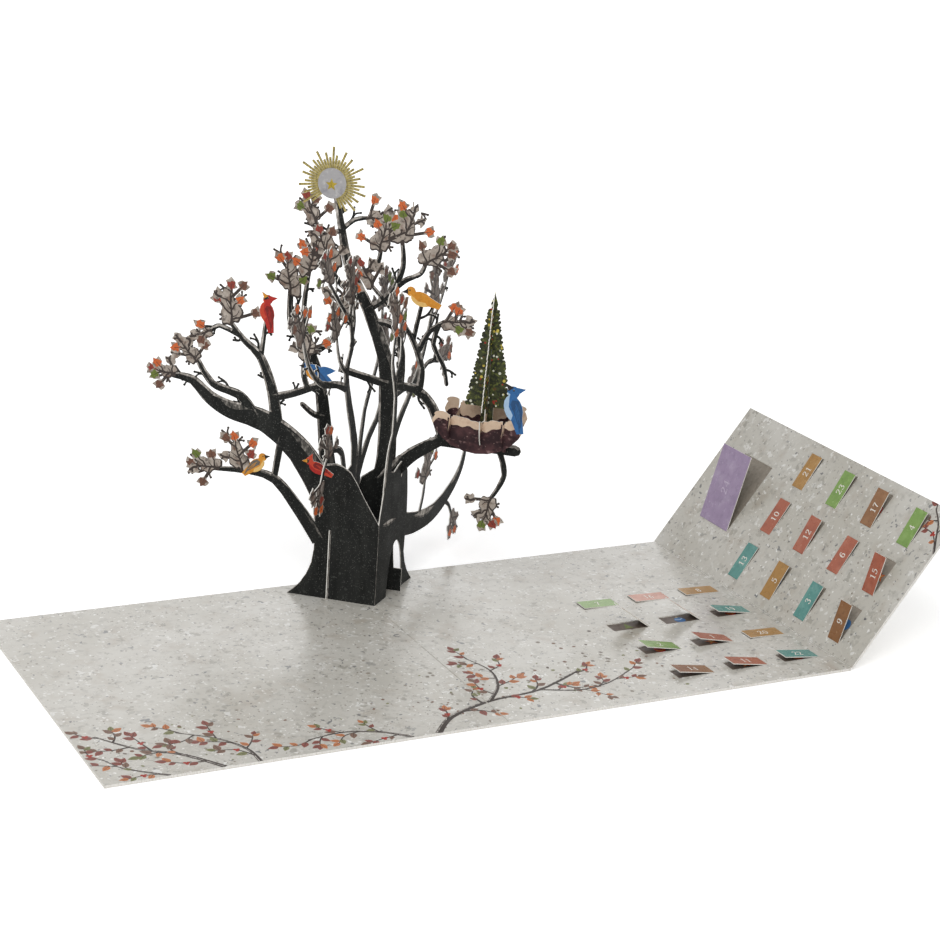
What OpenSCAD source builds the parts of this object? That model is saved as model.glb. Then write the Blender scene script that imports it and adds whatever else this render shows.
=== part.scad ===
// Pop-up advent calendar: a long folded card with numbered doors and a standing paper tree.
// Millimetres. X runs along the card to the end flap, Y to the back, Z up.
// The origin is the centre of the flat part's underside, on the mid fold.

/* [Card] */
// Length of each of the two flat panels, from the mid fold to its end
panel_l = 309; // [290:1:340]
// Depth of the card, front edge to back edge
card_w = 300; // [285:1:340]
// Length of the raised end flap
flap_l = 150; // [148:1:180]
// Angle of the end flap above the table
flap_angle = 53; // [30:1:58]
// Thickness of the printed top sheet
sheet_t = 0.8; // [0.6:0.1:1.5]
// Thickness of the backing board under the top sheet
board_t = 1.4; // [1:0.1:3]
// Gap left at the fold between the flat part and the end flap
fold_gap = 0.3; // [0.2:0.1:0.6]
// Width of the scored line at the mid fold
score_w = 1.2; // [0.6:0.1:2]
// Depth of the scored line at the mid fold
score_d = 0.3; // [0.1:0.05:0.5]

/* [Doors] */
// Length of a small door, hinge edge to free edge
door_l = 33; // [28:0.5:36]
// Width of a small door along its hinge
door_w = 14.5; // [12:0.5:18]
// Length of the large door
big_door_l = 69; // [60:1:75]
// Width of the large door along its hinge
big_door_w = 43; // [36:1:50]
// Distance from the flap's fold to the large door's hinge
big_door_first = 42; // [38:1:50]
// Distance from the front edge of the card to the large door
big_door_row = 225; // [222:1:235]
// Gap round a closed door
door_gap = 0.3; // [0.2:0.05:0.5]
// Gap between a closed door and the backing board
lay_gap = 0.1; // [0.05:0.05:0.2]
// Distance from the flap's fold to the nearest hinges
hinge_first = 11; // [10:0.5:12]
// Spacing of the hinges along the end flap
flap_pitch = 47.5; // [45:0.5:50]
// Spacing of the hinges along the flat part
flat_pitch = 50; // [46:0.5:56]
// Distance from the front edge of the card to the first row of doors
row_first = 28.5; // [24:0.5:32]
// Spacing of the rows of doors
row_pitch = 49; // [46:0.5:52]

/* [Tree] */
// Thickness of the tree's card
card_t = 0.8; // [0.6:0.1:1.2]
// Distance of the trunk's front crease behind the card's middle
trunk_y = 86; // [78:1:88]
// Angle of the trunk's walls to the long side of the card
wall_angle = 41; // [38:0.5:45]
// Spacing of the interlocking sheets, measured along a wall
sheet_s = 41; // [38:0.5:44]
// Length of each front wall's foot
root_l = 76; // [72:1:78]
// Clearance on each side of a sheet in its slot
slot_gap = 0.3; // [0.2:0.05:0.4]
// Height of the slot in the left wall
wall_slot_h = 60; // [50:1:62]
// Height at which the forward sheet widens behind the left wall
neck_z = 100; // [90:1:104]
// Height at which the two inner sheets' half slots meet
half_slot_z = 35; // [25:1:45]
// Height of the front crease, where the two walls part
crease_h = 70; // [62:1:78]
// Height of the slot's foot at the top of the right wall
wall_slot_z = 101; // [98:0.5:102]
// Height of the inner tab behind the right wall's arch
tab_h = 20; // [14:1:26]
// Distance that the inner tab reaches past the right wall
tab_w = 5; // [3:0.5:7]
// Width of the right wall's leg at its foot
leg_w = 23; // [21:0.5:26]
// Width of the arch at the foot of the right wall
arch_w = 30; // [26:1:32]
// Height of the arch at the foot of the right wall
arch_h = 46; // [36:1:48]
// Half the width of the narrowest gap that is cut between limbs
crotch_w = 0.4; // [0.2:0.05:0.8]
// Width of the cut card round a printed twig
twig_w = 2.6; // [2.2:0.1:3.6]
// Length of a leaf
leaf_l = 9; // [7:0.5:11]
// Width of a leaf
leaf_w = 6; // [4:0.5:7]

/* [Nest, birds and topper] */
// Distance of the nest's middle from the right wall, along its limb
nest_u = 64; // [62:0.5:66]
// Half length of the nest's front
nest_r = 40; // [36:0.5:42]
// Height of the nest's front
nest_h = 34; // [30:0.5:38]
// Distance of the nest's front and rear sheets from its limb
nest_d = 15; // [13:0.5:18]
// Distance of the nest's cross sheets from its middle
nest_cross_u = 22; // [20:0.5:24]
// Distance that the nest's cross sheets reach past its front and rear
nest_reach = 8; // [5:0.5:9]
// Height of the limb that carries the nest
nest_z = 136; // [134:0.5:138]
// Width of the limb that carries the nest
nest_limb_w = 9; // [8:0.5:10]
// Height of the small fir tree from its skirt to its tip
fir_h = 96; // [80:1:110]
// Width of the small fir tree's skirt
fir_w = 36; // [30:1:38]
// Height of the fir's skirt above the limb's middle
fir_lift = 34; // [34:1:40]
// Number of tiers on the fir's edge
fir_tiers = 9; // [6:1:11]
// Length of a small bird
bird_l = 25; // [20:1:28]
// Length of the large bird on the nest
big_bird_l = 36; // [32:1:40]
// Radius of the topper's long rays
topper_r = 28; // [24:1:30]
// Radius of the topper's ring of short rays
topper_ring_r = 20; // [18:1:22]
// Number of long rays on the topper
topper_rays = 30; // [20:1:34]
// Width of a ray
ray_w = 1.6; // [1.2:0.1:2]
// Difference in length from one ray to the next
ray_step = 3; // [1:0.5:4]

/* [Hidden] */
$fn = 24;
top = board_t + sheet_t;
door_t = sheet_t - lay_gap;
slot_w = card_t * (1 + cos(2 * wall_angle)) / sin(2 * wall_angle) + 2 * slot_gap;
eps = 0.01;
nest_foot_z = nest_z - 2;
nest_mid_z = nest_foot_z + 0.55 * nest_h;
limb_top_z = nest_z + nest_limb_w / 2 + slot_gap;
fir_u = nest_u + 4;
fir_z = nest_z + fir_lift;
fir_stem = 5;
big_door_y = big_door_row - card_w / 2;

// Doors in the grid by number, column from the fold, row from the front and angle at rest
flap_doors = [
    [13, 0, 3, 3], [10, 1, 3, 3], [21, 2, 3, 4],
    [5, 0, 2, 7], [12, 1, 2, 8], [23, 2, 2, 6],
    [3, 0, 1, 7], [6, 1, 1, 4], [17, 2, 1, 10],
    [9, 0, 0, 21], [15, 1, 0, 22], [4, 2, 0, 7]
];
flat_doors = [
    [8, 0, 3, 2], [16, 1, 3, 2], [7, 2, 3, 2],
    [19, 0, 2, 9], [25, 1, 2, 33], [18, 2, 2, 35],
    [20, 0, 1, 2], [1, 1, 1, 12], [2, 2, 1, 11],
    [22, 0, 0, 7], [11, 1, 0, 9], [14, 2, 0, 9]
];
big_door_angle = 22;

// Door colours: green, terracotta, ochre, teal, brown, salmon and purple, and the one of each door by number
door_colour = ["#7d9a4e", "#b5674a", "#b48a45", "#4f8f8c", "#8d5f3c", "#c98a76", "#9a86b0"];
door_tone = [1, 0, 3, 0, 2, 1, 0, 2, 4, 1, 1, 1, 3, 4, 1, 5, 4, 4, 3, 2, 2, 3, 0, 6, 5];

// Limbs as width at the start, width at the end and the points of the centre line.
// The first coordinate runs along the sheet and the second is the height above the card.
// Sprays as place along the sheet, height, direction, length of the stem and number of leaves.
left_limbs = [
    [26, 4, [[-46, 90], [-70, 124], [-100, 145], [-130, 151], [-148, 159], [-164, 172], [-182, 174]]],
    [9, 4, [[-108, 147], [-122, 164], [-146, 171], [-160, 190]]],
    [11, 3, [[-90, 140], [-95, 170], [-106, 198], [-122, 212], [-134, 226]]],
    [4, 3, [[-124, 214], [-142, 220], [-150, 214]]],
    [4, 3, [[-106, 198], [-103, 228]]],
    [7, 5, [[-95, 166], [-75, 173], [-52, 184]]],
    [5, 3, [[-66, 178], [-70, 192], [-66, 206]]],
    [13, 3, [[-50, 50], [-70, 76], [-90, 97], [-112, 101], [-142, 99]]],
    [6, 5, [[-86, 134], [-91, 97]]]
];
left_sprays = [
    [-178, 174, 172, 19, 5], [-160, 187, 132, 22, 5], [-148, 215, 200, 14, 3], [-132, 222, 92, 31, 6],
    [-138, 99, 176, 23, 5], [-118, 100, 106, 28, 5], [-66, 202, 88, 23, 4]
];
right_limbs = [
    [24, 6, [[8, 60], [40, 58], [80, 49], [120, 47], [156, 57], [178, 71], [186, 88]]],
    [13, 4, [[12, 96], [16, 130], [30, 152], [52, 172], [74, 200], [90, 240]]],
    [7, 3, [[20, 134], [20, 175], [10, 205], [14, 236]]],
    [5, 3, [[16, 188], [26, 206], [25, 226]]],
    [5, 3, [[58, 178], [85, 188], [108, 184]]],
    [4, 3, [[80, 214], [104, 236], [116, 254]]],
    [5, 3, [[84, 52], [92, 68], [95, 84]]],
    [4, 3, [[138, 52], [154, 42], [162, 30]]]
];
right_sprays = [
    [186, 86, 80, 22, 4], [90, 236, 95, 30, 5], [14, 234, 98, 28, 5], [25, 222, 106, 16, 4],
    [106, 184, 10, 26, 5], [115, 252, 60, 26, 5], [95, 80, 80, 32, 5], [161, 33, 300, 20, 4]
];
nest_limbs = [
    [15, 4, [[-54, 60], [-64, 105], [-69, 143], [-74, 172], [-84, 198], [-100, 216], [-102, 248]]],
    [5, 3, [[-86, 202], [-90, 232], [-87, 264]]],
    [6, 4, [[-68, 142], [-78, 144], [-88, 151]]],
    [18, 4, [[-20, 70], [-14, 115], [-16, 166], [-20, 200], [-37, 240], [-54, 272], [-62, 304], [-69, 336]]],
    [6, 9, [[-58, 186], [-18, 178], [6, 177], [22, 164], [34, nest_z]]],
    [16, nest_limb_w, [[-24, 84], [-8, 104], [8, 121], [30, nest_z]]],
    [nest_limb_w, nest_limb_w, [[26, nest_z], [60, nest_z], [94, nest_z]]],
    [6, 3, [[10, 172], [11, 196], [0, 222], [-16, 240], [-34, 258]]],
    [4, 3, [[3, 218], [8, 246]]],
    [7, 5, [[-6, 180], [-6, 204], [-14, 226], [-27, 229]]],
    [6, 3, [[-36, 238], [-18, 254], [-9, 276], [-11, 298]]],
    [5, 3, [[-17, 256], [-6, 266], [6, 273], [10, 284]]],
    [5, 3, [[7, 208], [16, 226], [28, 236]]],
    [4, 3, [[24, 234], [20, 216], [29, 200], [33, 184]]],
    [4, 3, [[-62, 300], [-76, 296], [-84, 306]]],
    [4, 3, [[-62, 300], [-51, 310], [-38, 313]]],
    [5, 3, [[-50, 264], [-32, 274], [-28, 288]]],
    [5, 3, [[-40, 246], [-60, 256], [-70, 272]]],
    [5, 3, [[-82, 194], [-66, 208], [-60, 228]]],
    [5, 3, [[80, nest_z], [86, 114], [76, 92]]]
];
nest_sprays = [
    [-102, 242, 97, 30, 5], [-87, 260, 82, 26, 5], [-11, 294, 72, 31, 6], [8, 279, 40, 27, 5],
    [26, 235, 10, 21, 5], [-33, 257, 120, 20, 4], [-83, 303, 112, 22, 4], [77, 94, 255, 24, 5],
    [-42, 312, 6, 22, 4], [-29, 286, 80, 27, 5], [-69, 270, 112, 29, 5], [-60, 225, 82, 29, 5]
];
forward_limbs = [
    [13, 3, [[44, 80], [40, 125], [26, 160], [17, 190], [26, 212], [19, 238], [24, 262]]],
    [7, 3, [[24, 100], [16, 122], [0, 129], [-14, 122], [-22, 106]]],
    [7, 3, [[19, 176], [0, 184], [-30, 192], [-55, 212], [-68, 238]]],
    [5, 3, [[21, 232], [0, 250], [-24, 272]]],
    [5, 3, [[17, 190], [2, 204], [-5, 224]]],
    [5, 3, [[23, 210], [28, 230], [22, 250]]],
    [11, 4, [[48, 90], [70, 122], [104, 142], [148, 146]]],
    [5, 3, [[80, 130], [96, 160], [92, 194]]],
    [8, 3, [[50, 100], [58, 148], [80, 186], [84, 232]]]
];
forward_sprays = [
    [20, 256, 106, 25, 5], [-21, 108, 250, 22, 5], [-10, 124, 100, 24, 4], [-67, 234, 115, 30, 5],
    [-23, 270, 117, 26, 5], [-5, 222, 108, 28, 5], [22, 246, 108, 18, 4], [146, 146, 5, 28, 5],
    [92, 190, 95, 28, 5], [84, 228, 85, 30, 5]
];

// Edges of the walls and inner trunks, as points along the sheet and up
left_wall_side = [[-root_l, 0], [11 - root_l, 11], [20 - root_l, 30], [22 - root_l, 58], [18 - root_l, 92],
    [8 - root_l, 112]];
left_wall_top = [[-38, 118], [-26, 112], [-14, 92], [0, crease_h]];
right_wall_top = [[0, crease_h], [5, 92], [10, 114]];
right_wall_side = [[26, 109], [44, 115], [54, 102], [root_l - 18, 60], [root_l - 20, 30], [root_l - 11, 11],
    [root_l, 0]];
nest_trunk_left = [[-sheet_s - 9, 0], [-sheet_s - 10, 35], [-sheet_s - 19, 90]];
nest_trunk_top = [[-sheet_s - 6, 96], [-sheet_s, 78], [7 - sheet_s, 96]];
nest_trunk_right = [[-8, 116], [-3, 90], [-4, 50], [-2, tab_h]];
forward_trunk_top = [[12, 112], [30, 104], [44, 112]];
forward_trunk_right = [[sheet_s + 15, 90], [sheet_s + 10, 40], [sheet_s + 9, 0]];

// Birds as place along the sheet, height, turn, length, whether they look left and have a crest
cardinal = [-102, 236, 50, bird_l + 3, true, true];
orange_bird = [-106, 107, 15, bird_l - 1, false, false];
red_bird = [-54, 112, -5, bird_l - 2, true, true];
blue_bird = [-60, 190, 0, bird_l - 1, true, false];
yellow_bird = [8, 252, -10, bird_l + 3, true, false];
jay = [nest_u + 0.72 * nest_r, nest_z + nest_h + 6, 45, big_bird_l, true, true];

// Place of the topper's middle on the nest sheet
topper_at = [-71, 340];

// Point at share t of the piece of a smooth curve that starts at point i of p
function curve_point(p, i, t) =
    let (a = p[max(i - 1, 0)], b = p[i], c = p[i + 1], d = p[min(i + 2, len(p) - 1)])
    (2 * b + (c - a) * t + (2 * a - 5 * b + 4 * c - d) * t * t
        + (3 * b - a - 3 * c + d) * t * t * t) / 2;

// Smooth curve through the points p, in n steps for each piece
function curve(p, n = 2) =
    concat([for (i = [0 : len(p) - 2], k = [0 : n - 1]) curve_point(p, i, k / n)], [p[len(p) - 1]]);

// Unit normal of the line c at its point i
function normal_at(c, i) =
    let (d = c[min(i + 1, len(c) - 1)] - c[max(i - 1, 0)])
    [-d[1], d[0]] / norm(d);

// Outline of a band along the line c, tapering from w0 to w1
function band(c, w0, w1) =
    let (m = len(c) - 1)
    concat(
        [for (i = [0 : m]) c[i] + normal_at(c, i) * (w0 + (w1 - w0) * i / m) / 2],
        [for (i = [m : -1 : 0]) c[i] - normal_at(c, i) * (w0 + (w1 - w0) * i / m) / 2]
    );

// Pointed leaf, widest before its middle, from the origin along +X
function leaf_outline(l, w) = [[0, 0], [0.4 * l, w / 2], [l, 0], [0.4 * l, -w / 2]];

// Share between -1 and 1 that differs from spray to spray and from twig to twig
function wobble(s, k) = sin(97 * k + 31 * s[0] + 17 * s[1]);

// Wavy oval with the half axes a and b, for the spray s
function patch_outline(s, a, b) = [
    for (t = [0 : 36 : 324])
        let (wave = 1 + 0.22 * cos(3 * t + 90 * wobble(s, 0)) + 0.12 * cos(2 * t + 60))
        [a * wave * cos(t), b * wave * sin(t)]
];

// Side twig k of a spray s: where it leaves the stem, its angle and its length
function twig_start(s, k) = s[3] * (0.12 + 0.74 * k / (s[4] - 1));
function twig_angle(s, k) = (k % 2 == 0 ? 1 : -1) * (60 - 5 * k + 14 * wobble(s, k + 1));
function twig_length(s, k) = s[3] * (0.54 - 0.06 * k + 0.12 * wobble(s, k + 4));

module limb(l) {
    polygon(band(curve(l[2]), l[0], l[1]));
    translate(l[2][len(l[2]) - 1])
        circle(d = l[1], $fn = 8);
}

// Band for a twig of length l with a leaf at its end, from the origin along +X
module twig(l) {
    translate([0, -twig_w / 2])
        square([l, twig_w]);
    translate([l - leaf_l / 3, 0])
        polygon(leaf_outline(leaf_l, leaf_w));
}

// Spray at the end of a limb: a patch of card with printed twigs, and leaves at their ends
module spray(s) {
    translate([s[0], s[1]])
        rotate(s[2])
            mirror([0, s[2] > 90 ? 1 : 0]) {
                translate([0.42 * s[3], 0.1 * s[3] * wobble(s, 9)])
                    polygon(patch_outline(s, 0.42 * s[3], 0.28 * s[3]));
                twig(s[3]);
                for (k = [0 : s[4] - 2])
                    translate([twig_start(s, k), 0])
                        rotate(twig_angle(s, k))
                            twig(twig_length(s, k));
            }
}

// Cut outline of limbs and sprays with the trunk outline given as a child
module cut_outline(limbs, sprays) {
    offset(delta = -crotch_w)
        offset(delta = crotch_w)
            union() {
                for (l = limbs)
                    limb(l);
                for (s = sprays)
                    spray(s);
                children();
            }
}

// Slot for a crossing sheet, centred on x, from height z0 to z1
module slot(x, z0, z1) {
    translate([x - slot_w / 2, z0])
        square([slot_w, z1 - z0]);
}

// Stands a flat outline up as a sheet of card, its face at a distance behind the plane through the origin
module upright(behind = 0) {
    rotate([90, 0, 0])
        translate([0, 0, -behind - card_t])
            linear_extrude(card_t)
                children();
}

// Places of the four upright planes of the tree
module left_plane() {
    translate([0, trunk_y, top])
        rotate([0, 0, -wall_angle])
            children();
}

module right_plane() {
    translate([0, trunk_y, top])
        rotate([0, 0, wall_angle])
            children();
}

module nest_plane() {
    right_plane()
        translate([sheet_s, 0, 0])
            rotate([0, 0, -2 * wall_angle])
                children();
}

module forward_plane() {
    left_plane()
        translate([-sheet_s, 0, 0])
            rotate([0, 0, 2 * wall_angle])
                children();
}

// Place of the end flap, with X up along it and Z out of its face
module flap_place() {
    translate([panel_l, 0, top])
        rotate([0, -flap_angle, 0])
            children();
}

function row_y(r) = row_first + row_pitch * r - card_w / 2;
function flap_hinge(c) = hinge_first + flap_pitch * c;
function flat_hinge(c) = hinge_first + flat_pitch * c;

// Cutter for one door's opening, from its hinge along +X, through the sheet
module opening(l, w) {
    translate([-door_gap, -door_gap, -sheet_t - 1])
        cube([l + 2 * door_gap, w + 2 * door_gap, sheet_t + 2]);
}

module door_leaf(l, w) {
    translate([0, 0, -door_t])
        cube([l, w, door_t]);
}

module base_board() {
    color("#c9c6bd")
        translate([-panel_l, -card_w / 2, 0])
            cube([2 * panel_l, card_w, board_t]);
}

module base_sheet() {
    color("#d6d2c8")
        difference() {
            translate([-panel_l, -card_w / 2, board_t])
                cube([2 * panel_l, card_w, sheet_t]);
            for (d = flat_doors)
                translate([panel_l - flat_hinge(d[1]), row_y(d[2]), top])
                    mirror([1, 0, 0])
                        opening(door_l, door_w);
            translate([0, card_w / 2 + 1, top])
                rotate([90, 0, 0])
                    linear_extrude(card_w + 2)
                        polygon([[-score_w / 2, eps], [score_w / 2, eps], [0, -score_d]]);
        }
}

module flap_board() {
    color("#c9c6bd")
        flap_place()
            translate([fold_gap, -card_w / 2, -top])
                cube([flap_l - fold_gap, card_w, board_t]);
}

module flap_sheet() {
    color("#d6d2c8")
        flap_place()
            difference() {
                translate([fold_gap, -card_w / 2, -sheet_t])
                    cube([flap_l - fold_gap, card_w, sheet_t]);
                for (d = flap_doors)
                    translate([flap_hinge(d[1]), row_y(d[2]), 0])
                        opening(door_l, door_w);
                translate([big_door_first, big_door_y, 0])
                    opening(big_door_l, big_door_w);
            }
}

module flap_door(d) {
    flap_place()
        translate([flap_hinge(d[1]), row_y(d[2]), 0])
            rotate([0, -d[3], 0])
                door_leaf(door_l, door_w);
}

module flat_door(d) {
    translate([panel_l - flat_hinge(d[1]), row_y(d[2]), top])
        rotate([0, d[3], 0])
            mirror([1, 0, 0])
                door_leaf(door_l, door_w);
}

module big_door() {
    flap_place()
        translate([big_door_first, big_door_y, 0])
            rotate([0, -big_door_angle, 0])
                door_leaf(big_door_l, big_door_w);
}

module door(i) {
    color(door_colour[door_tone[i - 1]]) {
        for (d = flap_doors)
            if (d[0] == i)
                flap_door(d);
        for (d = flat_doors)
            if (d[0] == i)
                flat_door(d);
        if (i == 24)
            big_door();
    }
}

// Left front wall with its flared root, up to the limbs
module left_wall_outline() {
    polygon(concat(curve(left_wall_side), curve(left_wall_top), [[0, 0]]));
}

// Right front wall, which stands on a strip by the crease and on a flared leg
module right_wall_outline() {
    difference() {
        polygon(concat([[0, 0]], curve(right_wall_top), curve(right_wall_side)));
        translate([root_l - leg_w - arch_w / 2, 0])
            scale([arch_w / 2, arch_h])
                circle(1, $fn = 32);
    }
}

// Front of the tree: one sheet, folded at the crease over the mid fold
module tree_front_sheet() {
    color("#2b2b2c")
        union() {
            left_plane()
                upright()
                    difference() {
                        cut_outline(left_limbs, left_sprays)
                            left_wall_outline();
                        slot(-sheet_s - card_t / 2, -1, wall_slot_h);
                    }
            right_plane()
                upright()
                    difference() {
                        cut_outline(right_limbs, right_sprays)
                            right_wall_outline();
                        slot(sheet_s + card_t / 2, wall_slot_z, wall_slot_z + sheet_s);
                    }
        }
}

// Inner sheet that carries the nest and the topper
module tree_nest_sheet() {
    color("#333334")
        nest_plane()
            upright()
                difference() {
                    cut_outline(nest_limbs, nest_sprays)
                        polygon(concat(curve(nest_trunk_left), curve(nest_trunk_top), curve(nest_trunk_right),
                            [[tab_w, tab_h], [tab_w, 0]]));
                    slot(-sheet_s - card_t / 2, half_slot_z, half_slot_z + 2 * sheet_s);
                }
}

// Inner sheet whose limbs come forward over the left wall
module tree_forward_sheet() {
    color("#333334")
        forward_plane()
            upright()
                difference() {
                    cut_outline(forward_limbs, forward_sprays)
                        polygon(concat(
                            [[-card_t, 0], [-card_t, wall_slot_h - slot_gap]],
                            [[2 * card_t, wall_slot_h - slot_gap], [2 * card_t, neck_z]],
                            curve(forward_trunk_top), curve(forward_trunk_right)));
                    slot(sheet_s + card_t / 2, -1, half_slot_z + slot_gap);
                }
}

// Bowl outline with a rim that sags in the middle, its foot at the origin
module bowl_outline(r, h, sag) {
    polygon(concat(
        [for (a = [180 : 15 : 360]) [r * cos(a), h * (1 + sin(a))]],
        [for (t = [0.125 : 0.125 : 0.875]) [r * (1 - 2 * t), h - sag * sin(180 * t) + 0.8 * cos(1080 * t)]]
    ));
}

// Slots in the nest's long sheets, open at the top, one for each cross sheet
module nest_long_sheet(r, h) {
    difference() {
        translate([nest_u, nest_foot_z])
            bowl_outline(r, h, 8);
        for (u = [nest_u - nest_cross_u, fir_u, nest_u + nest_cross_u])
            slot(u - card_t / 2, nest_mid_z, nest_foot_z + nest_h + 10);
    }
}

module nest_front() {
    color("#6a4a46")
        nest_plane()
            translate([0, -nest_d, 0])
                upright()
                    nest_long_sheet(nest_r, nest_h);
}

module nest_rear() {
    color("#c7a98f")
        nest_plane()
            translate([0, nest_d, 0])
                upright()
                    nest_long_sheet(nest_r - 3, nest_h + 4);
}

// Bowl outline of a sheet across the nest
module nest_cross_outline() {
    translate([0, nest_foot_z])
        bowl_outline(nest_d + nest_reach, nest_h - 4, 5);
}

// Slots of a sheet across the nest, open at the foot, for the two long sheets and the limb
module nest_cross_slots() {
    for (x = [-nest_d, nest_d])
        slot(x + card_t / 2, 0, nest_mid_z + slot_gap);
    slot(card_t / 2, 0, limb_top_z);
}

// Cross sheet of the nest: it sits astride the limb and holds the two long sheets
module nest_cross(side) {
    color("#6a4a46")
        nest_plane()
            translate([nest_u + side * nest_cross_u, 0, 0])
                rotate([0, 0, 90])
                    upright()
                        difference() {
                            nest_cross_outline();
                            nest_cross_slots();
                        }
}

// Half of the fir's edge: tiers that narrow to the tip, with notches between them
function fir_edge(side) = [
    for (k = [0 : fir_tiers - 1], step = [0, 1])
        let (z = fir_h * (k + step * 0.75) / fir_tiers)
        [side * (fir_w / 2 * (1 - (k + step * 0.9) / (fir_tiers + 0.6)) - step), z]
];

function reversed(p) = [for (i = [len(p) - 1 : -1 : 0]) p[i]];

// Fir outline with its stem, tip up, standing on the limb
module fir_outline(foot_z) {
    translate([0, fir_z])
        polygon(concat(fir_edge(1), [[0, fir_h]], reversed(fir_edge(-1))));
    translate([-fir_stem, foot_z])
        square([2 * fir_stem, fir_z - foot_z + 1]);
}

module fir_long() {
    color("#3f5a2c")
        nest_plane()
            translate([fir_u, 0, 0])
                upright()
                    difference() {
                        fir_outline(limb_top_z);
                        slot(-card_t / 2, 0, fir_z + fir_h / 2 + slot_gap);
                    }
}

// Sheet across the fir, in one piece with a third cross sheet of the nest
module fir_cross() {
    color("#3f5a2c")
        nest_plane()
            translate([fir_u, 0, 0])
                rotate([0, 0, 90])
                    upright()
                        difference() {
                            union() {
                                fir_outline(nest_z);
                                nest_cross_outline();
                            }
                            nest_cross_slots();
                            slot(card_t / 2, fir_z + fir_h / 2, fir_z + fir_h + 1);
                        }
}

// Perching bird of length l, beak to the right, its feet near the origin
module bird_outline(l, crest) {
    offset(delta = 0.3)
        scale(l / 30) {
            rotate(25)
                scale([1.55, 1])
                    circle(6, $fn = 16);
            translate([8.5, 7.5])
                circle(4, $fn = 12);
            polygon([[11, 9.5], [16, 7.5], [11.5, 6]]);
            polygon([[-5, 3], [-17, -6], [-14.5, -9.5], [-2, -5]]);
            if (crest)
                polygon([[5.5, 9], [5, 15], [11, 10]]);
        }
}

// Bird glued to the front of an upright sheet
module bird(b) {
    upright(-card_t)
        translate([b[0], b[1]])
            mirror([b[4] ? 1 : 0, 0])
                rotate(b[2])
                    bird_outline(b[3], b[5]);
}

module bird_cardinal() {
    color("#b3261e")
        left_plane()
            bird(cardinal);
}

module bird_orange() {
    color("#e39a2d")
        left_plane()
            bird(orange_bird);
}

module bird_red() {
    color("#d3402a")
        left_plane()
            bird(red_bird);
}

module bird_blue() {
    color("#2f6fb8")
        left_plane()
            bird(blue_bird);
}

module bird_yellow() {
    color("#e8a92f")
        nest_plane()
            bird(yellow_bird);
}

module bird_jay() {
    color("#2f6fb8")
        nest_plane()
            translate([0, -nest_d, 0])
                bird(jay);
}

// Ray burst: a disc with two lengths of rays round it, glued to the tree's tip
module topper() {
    color("#c9a84a")
        nest_plane()
            upright(-card_t)
                translate(topper_at)
                    union() {
                        circle(topper_ring_r, $fn = 48);
                        for (k = [0 : topper_rays - 1])
                            rotate(360 * k / topper_rays)
                                translate([0, -ray_w / 2])
                                    square([topper_r - ray_step * (k % 3), ray_w]);
                    }
}

base_board();
base_sheet();
flap_board();
flap_sheet();
tree_front_sheet();
tree_nest_sheet();
tree_forward_sheet();
nest_front();
nest_rear();
nest_cross(-1);  // nest_cross_left
nest_cross(1);  // nest_cross_right
fir_long();
fir_cross();
bird_cardinal();
bird_orange();
bird_red();
bird_blue();
bird_yellow();
bird_jay();
topper();
for (i = [1 : 25])
    door(i);
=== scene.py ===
import math
import random

import bpy
import numpy as np
from mathutils import Matrix, Vector
from mathutils.bvhtree import BVHTree
from mathutils.geometry import delaunay_2d_cdt


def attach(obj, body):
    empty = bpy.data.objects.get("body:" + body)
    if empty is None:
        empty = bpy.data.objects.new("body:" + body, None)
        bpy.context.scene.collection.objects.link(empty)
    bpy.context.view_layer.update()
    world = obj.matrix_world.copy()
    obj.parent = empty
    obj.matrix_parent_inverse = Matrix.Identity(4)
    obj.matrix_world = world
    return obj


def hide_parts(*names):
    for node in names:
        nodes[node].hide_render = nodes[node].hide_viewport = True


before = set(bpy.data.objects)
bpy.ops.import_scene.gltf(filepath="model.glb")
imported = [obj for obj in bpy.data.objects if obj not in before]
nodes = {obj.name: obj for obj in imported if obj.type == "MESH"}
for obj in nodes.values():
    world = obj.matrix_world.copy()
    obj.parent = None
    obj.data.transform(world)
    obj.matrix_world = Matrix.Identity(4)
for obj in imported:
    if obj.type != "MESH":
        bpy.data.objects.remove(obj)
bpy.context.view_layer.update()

# Sizes of the part in millimetres, as in its source
TOP = 2.2
SHEET_T = 0.8
CARD_T = 0.8
PANEL_L = 309
CARD_W = 300
FLAP_ANGLE = 53
DOOR_L = 33
DOOR_W = 14.5
BIG_DOOR = (69, 43, 42, 75, 22)
HINGE_FIRST = 11
FLAP_PITCH = 47.5
FLAT_PITCH = 50
TRUNK_Y = 86
WALL_ANGLE = 41
SHEET_S = 41
LEAF_L = 9
NEST_U = 64
NEST_R = 40
NEST_H = 34
NEST_D = 15
NEST_FOOT = 134
FIR_U = 68
FIR_Z = 170
FIR_H = 96
FIR_W = 36
TOPPER_AT = (-71, 340)
ROW_FIRST = 28.5
ROW_PITCH = 49
SHEET_TOP = 400

# Thickness of ink, reach of the fine edge past a limb, and half widths kept free of it where sheets cross
INK = 0.03
FINE_EDGE = 0.3
TREE_GATE = 3
NEST_GATE = 1.2

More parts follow.
